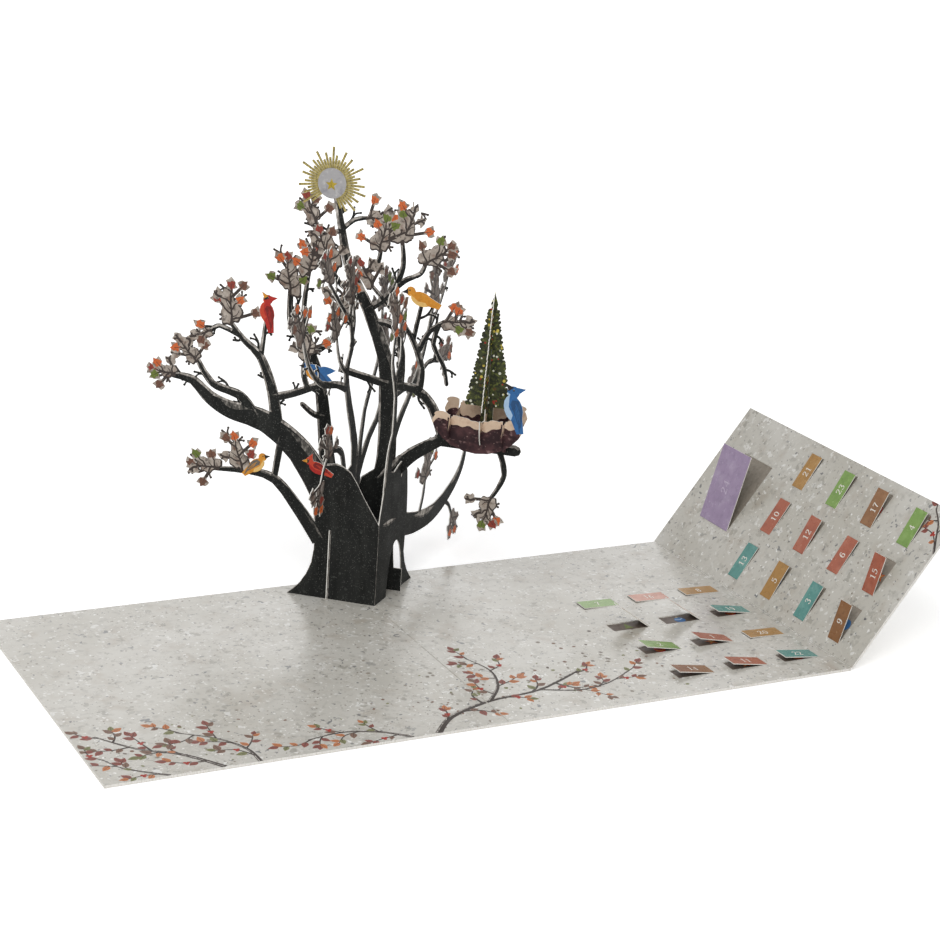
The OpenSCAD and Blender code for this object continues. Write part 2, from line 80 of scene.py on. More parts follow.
FLAP_DOORS = {
    13: (0, 3, 3), 10: (1, 3, 3), 21: (2, 3, 4), 5: (0, 2, 7), 12: (1, 2, 8), 23: (2, 2, 6),
    3: (0, 1, 7), 6: (1, 1, 4), 17: (2, 1, 10), 9: (0, 0, 21), 15: (1, 0, 22), 4: (2, 0, 7),
}
FLAT_DOORS = {
    8: (0, 3, 2), 16: (1, 3, 2), 7: (2, 3, 2), 19: (0, 2, 9), 25: (1, 2, 33), 18: (2, 2, 35),
    20: (0, 1, 2), 1: (1, 1, 12), 2: (2, 1, 11), 22: (0, 0, 7), 11: (1, 0, 9), 14: (2, 0, 9),
}
DOOR_TONES = ["door_green", "door_terracotta", "door_ochre", "door_teal", "door_brown", "door_salmon",
              "door_purple"]
DOOR_TONE = [1, 0, 3, 0, 2, 1, 0, 2, 4, 1, 1, 1, 3, 4, 1, 5, 4, 4, 3, 2, 2, 3, 0, 6, 5]

LEFT_LIMBS = [
    (26, 4, [(-46, 90), (-70, 124), (-100, 145), (-130, 151), (-148, 159), (-164, 172), (-182, 174)]),
    (9, 4, [(-108, 147), (-122, 164), (-146, 171), (-160, 190)]),
    (11, 3, [(-90, 140), (-95, 170), (-106, 198), (-122, 212), (-134, 226)]),
    (4, 3, [(-124, 214), (-142, 220), (-150, 214)]),
    (4, 3, [(-106, 198), (-103, 228)]),
    (7, 5, [(-95, 166), (-75, 173), (-52, 184)]),
    (5, 3, [(-66, 178), (-70, 192), (-66, 206)]),
    (13, 3, [(-50, 50), (-70, 76), (-90, 97), (-112, 101), (-142, 99)]),
    (6, 5, [(-86, 134), (-91, 97)]),
]
LEFT_SPRAYS = [
    (-178, 174, 172, 19, 5), (-160, 187, 132, 22, 5), (-148, 215, 200, 14, 3), (-132, 222, 92, 31, 6),
    (-138, 99, 176, 23, 5), (-118, 100, 106, 28, 5), (-66, 202, 88, 23, 4),
]
RIGHT_LIMBS = [
    (24, 6, [(8, 60), (40, 58), (80, 49), (120, 47), (156, 57), (178, 71), (186, 88)]),
    (13, 4, [(12, 96), (16, 130), (30, 152), (52, 172), (74, 200), (90, 240)]),
    (7, 3, [(20, 134), (20, 175), (10, 205), (14, 236)]),
    (5, 3, [(16, 188), (26, 206), (25, 226)]),
    (5, 3, [(58, 178), (85, 188), (108, 184)]),
    (4, 3, [(80, 214), (104, 236), (116, 254)]),
    (5, 3, [(84, 52), (92, 68), (95, 84)]),
    (4, 3, [(138, 52), (154, 42), (162, 30)]),
]
RIGHT_SPRAYS = [
    (186, 86, 80, 22, 4), (90, 236, 95, 30, 5), (14, 234, 98, 28, 5), (25, 222, 106, 16, 4),
    (106, 184, 10, 26, 5), (115, 252, 60, 26, 5), (95, 80, 80, 32, 5), (161, 33, 300, 20, 4),
]
NEST_LIMBS = [
    (15, 4, [(-54, 60), (-64, 105), (-69, 143), (-74, 172), (-84, 198), (-100, 216), (-102, 248)]),
    (5, 3, [(-86, 202), (-90, 232), (-87, 264)]),
    (6, 4, [(-68, 142), (-78, 144), (-88, 151)]),
    (18, 4, [(-20, 70), (-14, 115), (-16, 166), (-20, 200), (-37, 240), (-54, 272), (-62, 304), (-69, 336)]),
    (6, 9, [(-58, 186), (-18, 178), (6, 177), (22, 164), (34, 136)]),
    (16, 9, [(-24, 84), (-8, 104), (8, 121), (30, 136)]),
    (9, 9, [(26, 136), (60, 136), (94, 136)]),
    (6, 3, [(10, 172), (11, 196), (0, 222), (-16, 240), (-34, 258)]),
    (4, 3, [(3, 218), (8, 246)]),
    (7, 5, [(-6, 180), (-6, 204), (-14, 226), (-27, 229)]),
    (6, 3, [(-36, 238), (-18, 254), (-9, 276), (-11, 298)]),
    (5, 3, [(-17, 256), (-6, 266), (6, 273), (10, 284)]),
    (5, 3, [(7, 208), (16, 226), (28, 236)]),
    (4, 3, [(24, 234), (20, 216), (29, 200), (33, 184)]),
    (4, 3, [(-62, 300), (-76, 296), (-84, 306)]),
    (4, 3, [(-62, 300), (-51, 310), (-38, 313)]),
    (5, 3, [(-50, 264), (-32, 274), (-28, 288)]),
    (5, 3, [(-40, 246), (-60, 256), (-70, 272)]),
    (5, 3, [(-82, 194), (-66, 208), (-60, 228)]),
    (5, 3, [(80, 136), (86, 114), (76, 92)]),
]
NEST_SPRAYS = [
    (-102, 242, 97, 30, 5), (-87, 260, 82, 26, 5), (-11, 294, 72, 31, 6), (8, 279, 40, 27, 5),
    (26, 235, 10, 21, 5), (-33, 257, 120, 20, 4), (-83, 303, 112, 22, 4), (77, 94, 255, 24, 5),
    (-42, 312, 6, 22, 4), (-29, 286, 80, 27, 5), (-69, 270, 112, 29, 5), (-60, 225, 82, 29, 5),
]
FORWARD_LIMBS = [
    (13, 3, [(44, 80), (40, 125), (26, 160), (17, 190), (26, 212), (19, 238), (24, 262)]),
    (7, 3, [(24, 100), (16, 122), (0, 129), (-14, 122), (-22, 106)]),
    (7, 3, [(19, 176), (0, 184), (-30, 192), (-55, 212), (-68, 238)]),
    (5, 3, [(21, 232), (0, 250), (-24, 272)]),
    (5, 3, [(17, 190), (2, 204), (-5, 224)]),
    (5, 3, [(23, 210), (28, 230), (22, 250)]),
    (11, 4, [(48, 90), (70, 122), (104, 142), (148, 146)]),
    (5, 3, [(80, 130), (96, 160), (92, 194)]),
    (8, 3, [(50, 100), (58, 148), (80, 186), (84, 232)]),
]
FORWARD_SPRAYS = [
    (20, 256, 106, 25, 5), (-21, 108, 250, 22, 5), (-10, 124, 100, 24, 4), (-67, 234, 115, 30, 5),
    (-23, 270, 117, 26, 5), (-5, 222, 108, 28, 5), (22, 246, 108, 18, 4), (146, 146, 5, 28, 5),
    (92, 190, 95, 28, 5), (84, 228, 85, 30, 5),
]

# Birds as place along the sheet, height, turn, length and whether they look left
CARDINAL = (-102, 236, 50, 28, True)
ORANGE_BIRD = (-106, 107, 15, 24, False)
RED_BIRD = (-54, 112, -5, 23, True)
BLUE_BIRD = (-60, 190, 0, 24, True)
YELLOW_BIRD = (8, 252, -10, 28, True)
JAY = (92.8, 176, 45, 36, True)


# Materials

def rgb(code):
    """Linear colour of a six-digit colour code."""
    values = [int(code[i:i + 2], 16) / 255 for i in (1, 3, 5)]
    return tuple(v / 12.92 if v <= 0.04045 else ((v + 0.055) / 1.055) ** 2.4 for v in values) + (1.0,)


class Shader:
    """A material with one principled shader, built up in layers over the object's own coordinates."""

    def __init__(self, name):
        self.material = bpy.data.materials.new(name)
        self.material.use_nodes = True
        self.tree = self.material.node_tree
        self.principled = self.tree.nodes["Principled BSDF"]
        self.place = self.add("ShaderNodeTexCoord").outputs["Object"]

    def add(self, kind, settings=(), **inputs):
        node = self.tree.nodes.new(kind)
        for key, value in dict(settings).items():
            setattr(node, key, value)
        for key, value in inputs.items():
            self.put(node.inputs[key.replace("_", " ")], value)
        return node

    def put(self, socket, value):
        if isinstance(value, bpy.types.NodeSocket):
            self.tree.links.new(value, socket)
        else:
            socket.default_value = value

    def math(self, operation, a, b=0.0, c=0.0):
        node = self.add("ShaderNodeMath", {"operation": operation})
        for socket, value in zip(node.inputs, (a, b, c)):
            self.put(socket, value)
        return node.outputs[0]

    def spread(self, value, low, high, to_low=0.0, to_high=1.0):
        node = self.add("ShaderNodeMapRange", {"clamp": True})
        for socket, v in zip(node.inputs, (value, low, high, to_low, to_high)):
            self.put(socket, v)
        return node.outputs[0]

    def mix(self, share, a, b):
        node = self.add("ShaderNodeMix", {"data_type": "RGBA"})
        self.put(node.inputs[0], share)
        self.put(node.inputs[6], a)
        self.put(node.inputs[7], b)
        return node.outputs[2]

    def shifted(self, seed, stretch=(1, 1, 1)):
        node = self.add("ShaderNodeMapping")
        self.put(node.inputs["Vector"], self.place)
        self.put(node.inputs["Location"], (0.37 * seed, 0.61 * seed, 0.23 * seed))
        self.put(node.inputs["Scale"], stretch)
        return node.outputs[0]

    def noise(self, scale, detail, seed, stretch=(1, 1, 1)):
        place = self.shifted(seed, stretch)
        return self.add("ShaderNodeTexNoise", Vector=place, Scale=scale, Detail=detail).outputs[0]

    def cells(self, scale, seed, warp):
        """Distance from the middle of a random cell, in cells, and the cell's three random shares."""
        place = self.shifted(seed)
        wander = self.add("ShaderNodeTexNoise", Vector=place, Scale=scale * 1.7, Detail=1.0).outputs["Color"]
        offset = self.add("ShaderNodeVectorMath", {"operation": "SCALE"})
        self.put(offset.inputs[0], wander)
        self.put(offset.inputs["Scale"], warp / scale)
        joined = self.add("ShaderNodeVectorMath", {"operation": "ADD"})
        self.put(joined.inputs[0], place)
        self.put(joined.inputs[1], offset.outputs[0])
        grid = self.add("ShaderNodeTexVoronoi", Vector=joined.outputs[0], Scale=scale)
        parts = self.add("ShaderNodeSeparateColor")
        self.put(parts.inputs[0], grid.outputs["Color"])
        return grid.outputs["Distance"], parts.outputs

    def flecks(self, colour, tone, scale, share, size, seed, strength=1.0, warp=0.35):
        """The colour with flecks of a tone in a share of the cells, each with its own size and strength."""
        distance, parts = self.cells(scale, seed, warp)
        held = self.math("LESS_THAN", parts[0], share)
        radius = self.math("MULTIPLY_ADD", parts[1], 0.65 * size, 0.35 * size)
        inside = self.spread(self.math("DIVIDE", distance, radius), 1.0, 0.78)
        weight = self.math("MULTIPLY_ADD", parts[2], 0.6 * strength, 0.4 * strength)
        return self.mix(self.math("MULTIPLY", self.math("MULTIPLY", held, inside), weight), colour, tone)

    def mottle(self, colour, tone, scale, low, high, strength, seed, detail=3.0, stretch=(1, 1, 1)):
        """The colour with soft spots of a tone where a noise rises from low to high."""
        share = self.spread(self.noise(scale, detail, seed, stretch), low, high, 0.0, strength)
        return self.mix(share, colour, tone)

    def finish(self, colour, rough=0.55, rough_spread=0.08, grain=900.0, bump=0.12, specular=0.4):
        principled = self.principled
        self.put(principled.inputs["Base Color"], colour)
        self.put(principled.inputs["Roughness"],
                 self.spread(self.noise(60.0, 3.0, 7), 0.3, 0.7, rough - rough_spread, rough + rough_spread))
        principled.inputs["Specular IOR Level"].default_value = specular
        relief = self.add("ShaderNodeBump", Strength=bump, Distance=0.0002)
        self.put(relief.inputs["Height"], self.noise(grain, 3.0, 11))
        self.put(principled.inputs["Normal"], relief.outputs[0])
        return self.material


# Each print's first colour, its layers and its finish. Mottles are given as tone, scale, low, high, strength,
# seed, detail and stretch, and flecks as tone, scale, share, size, seed, strength and warp.
MIXED_PRINTS = {
    "terrazzo": ("#c6c3bb", [
        ("mottle", "#b4b0a5", 9.0, 0.42, 0.7, 0.8, 1), ("mottle", "#d3d1cb", 16.0, 0.5, 0.75, 0.6, 2),
        ("mottle", "#a4998a", 60.0, 0.55, 0.78, 0.6, 3, 4.0),
        ("mottle", "#a19e96", 150.0, 0.54, 0.72, 0.6, 12, 4.0),
        ("flecks", "#e2e1dd", 125.0, 0.36, 0.4, 4, 0.8, 1.4),
        ("flecks", "#918e84", 105.0, 0.42, 0.42, 5, 0.7, 1.4),
        ("flecks", "#ebeae6", 280.0, 0.34, 0.42, 6, 0.9, 1.2),
        ("flecks", "#6a6c6d", 92.0, 0.36, 0.27, 7, 0.9, 1.4),
        ("flecks", "#54565b", 210.0, 0.26, 0.34, 8, 0.9, 1.2),
        ("flecks", "#74695c", 340.0, 0.26, 0.36, 9, 0.8, 0.8),
        ("flecks", "#494b50", 52.0, 0.22, 0.15, 10, 0.75, 1.2)], (0.25, 0.05, 700.0, 0.04, 0.5)),
    "board": ("#dcd9d2", [
        ("mottle", "#c9c5bb", 90.0, 0.45, 0.75, 0.6, 1),
        ("mottle", "#b9b3a6", 700.0, 0.6, 0.8, 0.4, 2, 2.0, (1, 0.25, 1))], (0.75, 0.06, 800.0, 0.15, 0.25)),
    "edge": ("#efece6", [
        ("mottle", "#cfcac0", 900.0, 0.45, 0.75, 0.7, 1, 2.0, (1, 1, 0.2)),
        ("mottle", "#bdb7ab", 260.0, 0.6, 0.8, 0.4, 2)], (0.85, 0.05, 1500.0, 0.2, 0.2)),
    "black": ("#1e1f1e", [
        ("mottle", "#2e2f2d", 60.0, 0.42, 0.7, 0.8, 1, 4.0, (1, 1, 0.4)),
        ("mottle", "#101110", 110.0, 0.5, 0.75, 0.7, 2, 4.0, (1, 1, 0.3)),
        ("flecks", "#7d7e7a", 1150.0, 0.3, 0.4, 3, 0.8), ("flecks", "#6f706c", 800.0, 0.24, 0.34, 6, 0.7),
        ("flecks", "#a5a6a2", 700.0, 0.08, 0.2, 4, 0.7), ("flecks", "#454744", 260.0, 0.35, 0.4, 5, 0.7)],
        (0.55, 0.08, 900.0, 0.1, 0.14)),
    "nest": ("#4c3133", [
        ("mottle", "#2a181c", 110.0, 0.42, 0.58, 0.95, 1, 5.0),
        ("mottle", "#8f726f", 190.0, 0.57, 0.7, 0.8, 2, 5.0, (1, 1, 1.8)),
        ("flecks", "#a88d86", 420.0, 0.22, 0.32, 3, 0.6), ("flecks", "#2b181b", 300.0, 0.35, 0.42, 4, 0.8)],
        (0.55, 0.08, 900.0, 0.12, 0.25)),
    "fir": ("#3f4420", [
        ("mottle", "#1c200d", 260.0, 0.42, 0.56, 0.95, 1, 5.0, (1, 1, 1.3)),
        ("mottle", "#6d7433", 420.0, 0.54, 0.66, 0.85, 2, 4.0),
        ("flecks", "#6b4a24", 240.0, 0.22, 0.4, 3, 0.7), ("flecks", "#6a7734", 520.0, 0.26, 0.32, 4, 0.7)], ()),
}

# Prints of one kind, as first colour, darker tone and lighter tone. Plain ones have scale and strength as well.
PLAIN_PRINTS = {
    "twig": ("#3b322d", "#241d1a", "#5c5049", 300.0, 0.5),
    "leaf_orange": ("#cc6430", "#9a431f", "#df8347", 420.0, 0.7),
    "leaf_red": ("#8d3a2c", "#64251f", "#a9523d", 420.0, 0.7),
    "leaf_olive": ("#66742f", "#47531f", "#849246", 420.0, 0.7),
    "leaf_brown": ("#6d4a3a", "#4a3027", "#8b6552", 420.0, 0.7),
    "fallen_orange": ("#bb7549", "#985731", "#cf9468", 420.0, 0.7),
    "fallen_red": ("#864a40", "#66352f", "#a06a5d", 420.0, 0.7),
    "fallen_olive": ("#7b7c54", "#5d5f3e", "#96976f", 420.0, 0.7),
    "fallen_brown": ("#7b5f50", "#5c463b", "#957b6c", 420.0, 0.7),
    "cream": ("#d8bfa6", "#bf9f86", "#e9d7c3", 200.0, 0.7),
    "dot_red": ("#a03022", "#7d2018", "#c04a34", 500.0, 0.5),
    "dot_yellow": ("#d5c053", "#a8913a", "#eadb7c", 500.0, 0.5),
    "dot_white": ("#dcdccb", "#b7b7a2", "#f2f2e6", 500.0, 0.5),
    "silver": ("#a9a7a8", "#8d8b91", "#c8c7c4", 200.0, 0.9),
    "red": ("#b3261e", "#7f1814", "#cf4636", 300.0, 0.5),
    "red_dark": ("#7d1a17", "#571110", "#9b2f28", 300.0, 0.5),
    "orange_red": ("#c8432a", "#96301f", "#e06a48", 300.0, 0.5),
    "amber": ("#d9922e", "#b0701f", "#efb55a", 300.0, 0.5),
    "amber_pale": ("#ecc274", "#d2a352", "#f6d99c", 300.0, 0.5),
    "grey_wing": ("#6b655c", "#46413b", "#8f887d", 300.0, 0.5),
    "blue": ("#2d66a0", "#1f4873", "#4b84b8", 300.0, 0.5),
    "blue_dark": ("#234c78", "#183556", "#356590", 300.0, 0.5),
    "blue_pale": ("#a7c3dd", "#86a6c6", "#c4d8ea", 300.0, 0.5),
    "ink": ("#1c1a19", "#0f0e0d", "#383431", 500.0, 0.5),
    "white": ("#e6e1d8", "#cfc9be", "#f3efe8", 500.0, 0.5),
    "lilac": ("#c2b4c9", "#ab9bb4", "#d3c8d9", 500.0, 0.5),
    # Fields behind the doors: brown-grey board print that also stands in for the shade under each open door,
    # painted shade; darker still behind the flat card's doors
    "behind": ("#8b8378", "#6b6359", "#a49c91", 220.0, 0.7),
    "behind_painted_shade": ("#5e5148", "#43382f", "#76695f", 220.0, 0.7),
}
# The pale ink goes on the sides that face the light: partly the tree's pale print, partly painted highlight
BRUSHED_PRINTS = {"pale": ("#aaa49d", "#645f5a", "#d8d2cb"), "glint": ("#56534f", "#1e1f1e", "#98938c")}
SPRAY_PRINTS = {"patch": ("#a79c91", "#625953", "#c9bfb4"), "shade": ("#7f766f", "#4f4844", "#a0958e")}
GOLD_PRINTS = {
    "gold": ("#b3a25a", "#8a7a3c", "#d6cb95"), "gold_dark": ("#7d7038", "#5c5229", "#a3955a"),
    "gold_pale": ("#c7bea0", "#a39a7c", "#dcd6c2"), "star": ("#b39a22", "#8b7716", "#d2bb45"),
}
DOOR_PRINTS = {
    "door_green": ("#7a9c4c", "#5f8038", "#9dba72"), "door_terracotta": ("#a65a40", "#86432e", "#bb7a62"),
    "door_ochre": ("#a87c3c", "#86622a", "#be9860"), "door_teal": ("#558f88", "#3c726e", "#80b0a8"),
    "door_brown": ("#8b5f38", "#6d4926", "#a67e58"), "door_salmon": ("#c48a76", "#a66c59", "#d8ab9a"),
    "door_purple": ("#a08cab", "#82708f", "#bdaec6"),
}
for ink, (code, dark, light, scale, strength) in PLAIN_PRINTS.items():
    MIXED_PRINTS[ink] = (code, [
        ("mottle", dark, scale, 0.5, 0.75, strength, 1), ("mottle", light, 1.6 * scale, 0.55, 0.8, strength, 2),
        ("mottle", dark, 1500.0, 0.5, 0.8, 0.25, 3, 1.0)], ())
for ink, (code, dark, light) in BRUSHED_PRINTS.items():
    MIXED_PRINTS[ink] = (code, [
        ("mottle", light, 420.0, 0.5, 0.66, 0.9, 1, 4.0, (1, 1, 0.6)),
        ("mottle", dark, 300.0, 0.46, 0.6, 0.95, 2, 5.0, (1, 1, 0.5)),
        ("flecks", dark, 700.0, 0.4, 0.42, 3, 0.9)], (0.55, 0.08, 900.0, 0.12, 0.2))
for ink, (code, dark, light) in SPRAY_PRINTS.items():
    MIXED_PRINTS[ink] = (code, [
        ("mottle", light, 190.0, 0.5, 0.7, 0.8, 1, 4.0), ("mottle", dark, 240.0, 0.52, 0.66, 0.85, 2, 5.0),
        ("mottle", "#6f5140", 130.0, 0.56, 0.7, 0.75, 3, 4.0), ("flecks", dark, 520.0, 0.3, 0.4, 4, 0.8)],
        (0.55, 0.08, 900.0, 0.12, 0.3))
for ink, (code, dark, light) in GOLD_PRINTS.items():
    MIXED_PRINTS[ink] = (code, [
        ("mottle", dark, 350.0, 0.45, 0.65, 0.8, 1, 3.0), ("mottle", light, 500.0, 0.58, 0.75, 0.7, 2)],
        (0.42, 0.08, 900.0, 0.12, 0.55))
for ink, (code, dark, light) in DOOR_PRINTS.items():
    MIXED_PRINTS[ink] = (code, [
        ("mottle", dark, 140.0, 0.5, 0.72, 0.5, 1), ("mottle", light, 90.0, 0.52, 0.75, 0.5, 2),
        ("flecks", light, 330.0, 0.3, 0.36, 3, 0.7), ("flecks", dark, 420.0, 0.24, 0.36, 4, 0.7)],
        (0.27, 0.05, 900.0, 0.06, 0.5))

# Materials that have another name than their ink
MATERIAL_NAMES = {
    "edge": "cut_edge", "black": "black_card", "pale": "pale_highlight", "glint": "limb_light", "patch": "spray_patch",
    "shade": "spray_shade", "nest": "nest_bark", "cream": "nest_cream", "fir": "fir_needles",
    "silver": "topper_disc", "red": "red_print", "blue": "blue_print", "ink": "dark_ink", "white": "white_ink",
    "lilac": "lilac_ink", "behind": "behind_doors", "behind_painted_shade": "painted_shade_behind_flat_doors",
}
INKS = {}
for ink, (code, layers, finish) in MIXED_PRINTS.items():
    s = Shader(MATERIAL_NAMES.get(ink, ink))
    colour = rgb(code)
    for kind, tone, *settings in layers:
        colour = (s.mottle if kind == "mottle" else s.flecks)(colour, rgb(tone), *settings)
    INKS[ink] = s.finish(colour, *finish)


# Planes on which the pieces lie

class Face:
    """A flat face: a point in millimetres, its two directions and the direction out of it."""

    def __init__(self, origin, along, up, out):
        self.origin, self.along, self.up, self.out = Vector(origin), Vector(along), Vector(up), Vector(out)

    def leans_to(self, polygon):
        """Whether a polygon is a scored groove's side, which looks much the same way as the face."""
        d = polygon.center * 1000 - self.origin
        return 0.5 < polygon.normal.dot(self.out) < 0.999 and abs(d.dot(self.out)) < 0.4

    def point(self, x, y, level=0.0):
        return (self.origin + self.along * x + self.up * y + self.out * level) * 0.001

    def flat(self, co):
        d = co * 1000 - self.origin
        return d.dot(self.along), d.dot(self.up)

    def holds(self, polygon):
        d = polygon.center * 1000 - self.origin
        return polygon.normal.dot(self.out) > 0.999 and abs(d.dot(self.out)) < 0.03


class Stand:
    """An upright place of the tree: u along the sheet, w behind it and z up from the card."""

    def __init__(self, x, y, turn):
        self.x, self.y, self.turn = x, y, turn
        a = math.radians(turn)
        self.along = Vector((math.cos(a), math.sin(a), 0))
        self.behind = Vector((-math.sin(a), math.cos(a), 0))

    def move(self, u, w=0.0, turn=0.0):
        p = Vector((self.x, self.y, 0)) + self.along * u + self.behind * w
        return Stand(p.x, p.y, self.turn + turn)

    def front(self):
        return Face((self.x, self.y, TOP), self.along, (0, 0, 1), -self.behind)

    def rear(self):
        return Face(Vector((self.x, self.y, TOP)) + self.behind * CARD_T, self.along, (0, 0, 1), self.behind)

    def faces(self):
        return {"front": self.front(), "rear": self.rear()}


LEFT = Stand(0, TRUNK_Y, -WALL_ANGLE)
RIGHT = Stand(0, TRUNK_Y, WALL_ANGLE)
NEST = RIGHT.move(SHEET_S, 0, -2 * WALL_ANGLE)
FORWARD = LEFT.move(-SHEET_S, 0, 2 * WALL_ANGLE)


def tilted(x, y, z, angle):
    """Face through a point, leaning up by an angle along X."""
    a = math.radians(angle)
    return Face((x, y, z), (math.cos(a), 0, math.sin(a)), (0, 1, 0), (-math.sin(a), 0, math.cos(a)))


CARD_FACE = tilted(0, 0, TOP, 0)
FLAP_FACE = tilted(PANEL_L, 0, TOP, FLAP_ANGLE)


def row_y(row):
    return ROW_FIRST + ROW_PITCH * row - CARD_W / 2


def on_flap(along, out=0.0):
    a = math.radians(FLAP_ANGLE)
    return PANEL_L + along * math.cos(a) - out * math.sin(a), TOP + along * math.sin(a) + out * math.cos(a)


def door_faces(number):
    """Middle faces of a door's printed side and of the board behind it, with length and width."""
    if number in FLAT_DOORS:
        column, row, angle = FLAT_DOORS[number]
        hinge = PANEL_L - HINGE_FIRST - FLAT_PITCH * column
        a = math.radians(angle)
        y = row_y(row) + DOOR_W / 2
        leaf = tilted(hinge - DOOR_L / 2 * math.cos(a), y, TOP + DOOR_L / 2 * math.sin(a), -angle)
        return leaf, tilted(hinge - DOOR_L / 2, y, TOP - SHEET_T, 0), DOOR_L, DOOR_W, "base_board", "card"
    if number == 24:
        length, width, hinge, y, angle = BIG_DOOR
    else:
        column, row, angle = FLAP_DOORS[number]
        length, width, hinge, y = DOOR_L, DOOR_W, HINGE_FIRST + FLAP_PITCH * column, row_y(row)
    x, z = on_flap(hinge)
    a = math.radians(FLAP_ANGLE + angle)
    y += width / 2
    leaf = tilted(x + length / 2 * math.cos(a), y, z + length / 2 * math.sin(a), FLAP_ANGLE + angle)
    x, z = on_flap(hinge + length / 2, -SHEET_T)
    return leaf, tilted(x, y, z, FLAP_ANGLE), length, width, "flap_board", "flap"


# Shapes of print, as lists of simple polygons

def curve(points, n=4):
    """Smooth line through points, in n steps for each piece."""
    p = [Vector(q) for q in points]
    line = []
    for i in range(len(p) - 1):
        a, b, c, d = p[max(i - 1, 0)], p[i], p[i + 1], p[min(i + 2, len(p) - 1)]
        for k in range(n):
            t = k / n
            line.append((2 * b + (c - a) * t + (2 * a - 5 * b + 4 * c - d) * t * t
                         + (3 * b - a - 3 * c + d) * t ** 3) / 2)
    return [tuple(q) for q in line] + [tuple(p[-1])]


def band(line, w0, w1):
    """Four-sided pieces along a line whose width goes from w0 to w1."""
    p = [Vector(q) for q in line]
    m = len(p) - 1
    sides = []
    for i in range(m + 1):
        d = (p[min(i + 1, m)] - p[max(i - 1, 0)]).normalized()
        half = Vector((-d.y, d.x)) * (w0 + (w1 - w0) * i / m) / 2
        sides.append((tuple(p[i] + half), tuple(p[i] - half)))
    return [[a[0], b[0], b[1], a[1]] for a, b in zip(sides, sides[1:])]


def oval(x, y, a, b, n=16, turn=0.0):
    c, s = math.cos(math.radians(turn)), math.sin(math.radians(turn))
    ring = [(a * math.cos(2 * math.pi * k / n), b * math.sin(2 * math.pi * k / n)) for k in range(n)]
    return [(x + c * u - s * v, y + s * u + c * v) for u, v in ring]


def leaf(l, w):
    """Pointed leaf from the origin along +X, widest before its middle."""
    upper = [(l * k / 8, w / 2 * math.sin(math.pi * (k / 8) ** 0.75)) for k in range(1, 8)]
    return [(0, 0)] + [(x, -y) for x, y in upper] + [(l, 0)] + upper[::-1]


def star(r, inner):
    """Star with five points, one of them up."""
    ring = [(inner if k % 2 else r, math.radians(90 + 36 * k)) for k in range(10)]
    return [(reach * math.cos(a), reach * math.sin(a)) for reach, a in ring]


def moved(polygons, x, y, turn=0.0, size=1.0, flip_x=False, flip_y=False):
    """Polygons scaled, flipped, turned and then moved."""
    c, s = math.cos(math.radians(turn)), math.sin(math.radians(turn))
    result = []
    for polygon in polygons:
        ring = []
        for u, v in polygon:
            u, v = size * u, size * (-v if flip_y else v)
            ring.append((x + c * u - s * v, y + s * u + c * v))
        result.append(ring)
    if flip_x:
        result = [[(2 * x - u, v) for u, v in ring] for ring in result]
    return result


def area(ring):
    return sum(a[0] * b[1] - b[0] * a[1] for a, b in zip(ring, ring[1:] + ring[:1])) / 2


def cut_card(node, face):
    """The part of a node that lies in a face, as polygons in the face's own coordinates."""
    if not node:
        return []
    mesh = nodes[node].data
    return [[face.flat(mesh.vertices[i].co) for i in p.vertices] for p in mesh.polygons if face.holds(p)]


def inside(ring, points):
    """Which of some points lie in a ring, counting the ring's edges to the right of each."""
    a, b = ring, np.roll(ring, -1, axis=0)
    rise = np.where(b[:, 1] == a[:, 1], 1e-12, b[:, 1] - a[:, 1])
    x, y = points[:, :1], points[:, 1:]
    crossed = (a[:, 1] > y) != (b[:, 1] > y)
    return (crossed & (x < a[:, 0] + (y - a[:, 1]) / rise * (b[:, 0] - a[:, 0]))).sum(axis=1) % 2 == 1


def divide(layers):
    """Cuts layers of polygons, each with its ink, into triangles, each with its inks in order."""
    kept = [(ink, ring) for ink, rings in layers for ring in rings if abs(area(ring)) > 1e-3]
    points, faces = [], []
    for _, ring in kept:
        faces.append(list(range(len(points), len(points) + len(ring))))
        points += [Vector(q) for q in (ring if area(ring) > 0 else ring[::-1])]
    corners, _, triangles, *_ = delaunay_2d_cdt(points, [], faces, 1, 2e-4)
    middles = np.array([sum((corners[i] for i in t), Vector((0, 0))) / 3 for t in triangles])
    order = np.argsort(middles[:, 0])
    across = middles[order, 0]
    inks = [[] for _ in triangles]
    for ink, ring in kept:
        ring = np.array(ring)
        low, high = ring.min(axis=0), ring.max(axis=0)
        near = order[np.searchsorted(across, low[0]):np.searchsorted(across, high[0])]
        near = near[(middles[near, 1] >= low[1]) & (middles[near, 1] <= high[1])]
        for i in near[inside(ring, middles[near])]:
            inks[i].append(ink)
    return corners, list(zip(triangles, inks))


def lay(name, node, face, shapes, body, more=()):
    """Lays shapes, later over earlier, as a thin layer of ink on the part of a node that lies in a face."""
    corners, triangles = divide([("card", cut_card(node, face) + list(more))] + shapes)
    groups = {}
    for triangle, inks in triangles:
        if "card" in inks and inks[-1] != "card":
            groups.setdefault(inks[-1], []).append(triangle)
    for ink, group in groups.items():
        solid(name + "." + ink, face, corners, group, (ink, ink), body, INK, -INK)


def merged(corners, triangles):
    """Fewer triangles over the same ground, without the lines inside it."""
    edges = {(t[k - 1], t[k]) for t in triangles for k in range(3)}
    border = sorted((a, b) for a, b in edges if (b, a) not in edges)
    used = sorted({i for edge in border for i in edge})
    index = {v: k for k, v in enumerate(used)}
    ground = BVHTree.FromPolygons([(*c, 0) for c in corners], triangles)
    lines = [(index[a], index[b]) for a, b in border]
    points, _, new, *_ = delaunay_2d_cdt([corners[i] for i in used], lines, [], 1, 1e-6)
    kept = []
    for t in new:
        middle = sum((points[i] for i in t), Vector((0, 0))) / 3
        if ground.ray_cast(Vector((*middle, 1)), Vector((0, 0, -1)))[0] is not None:
            kept.append(t)
    return points, kept


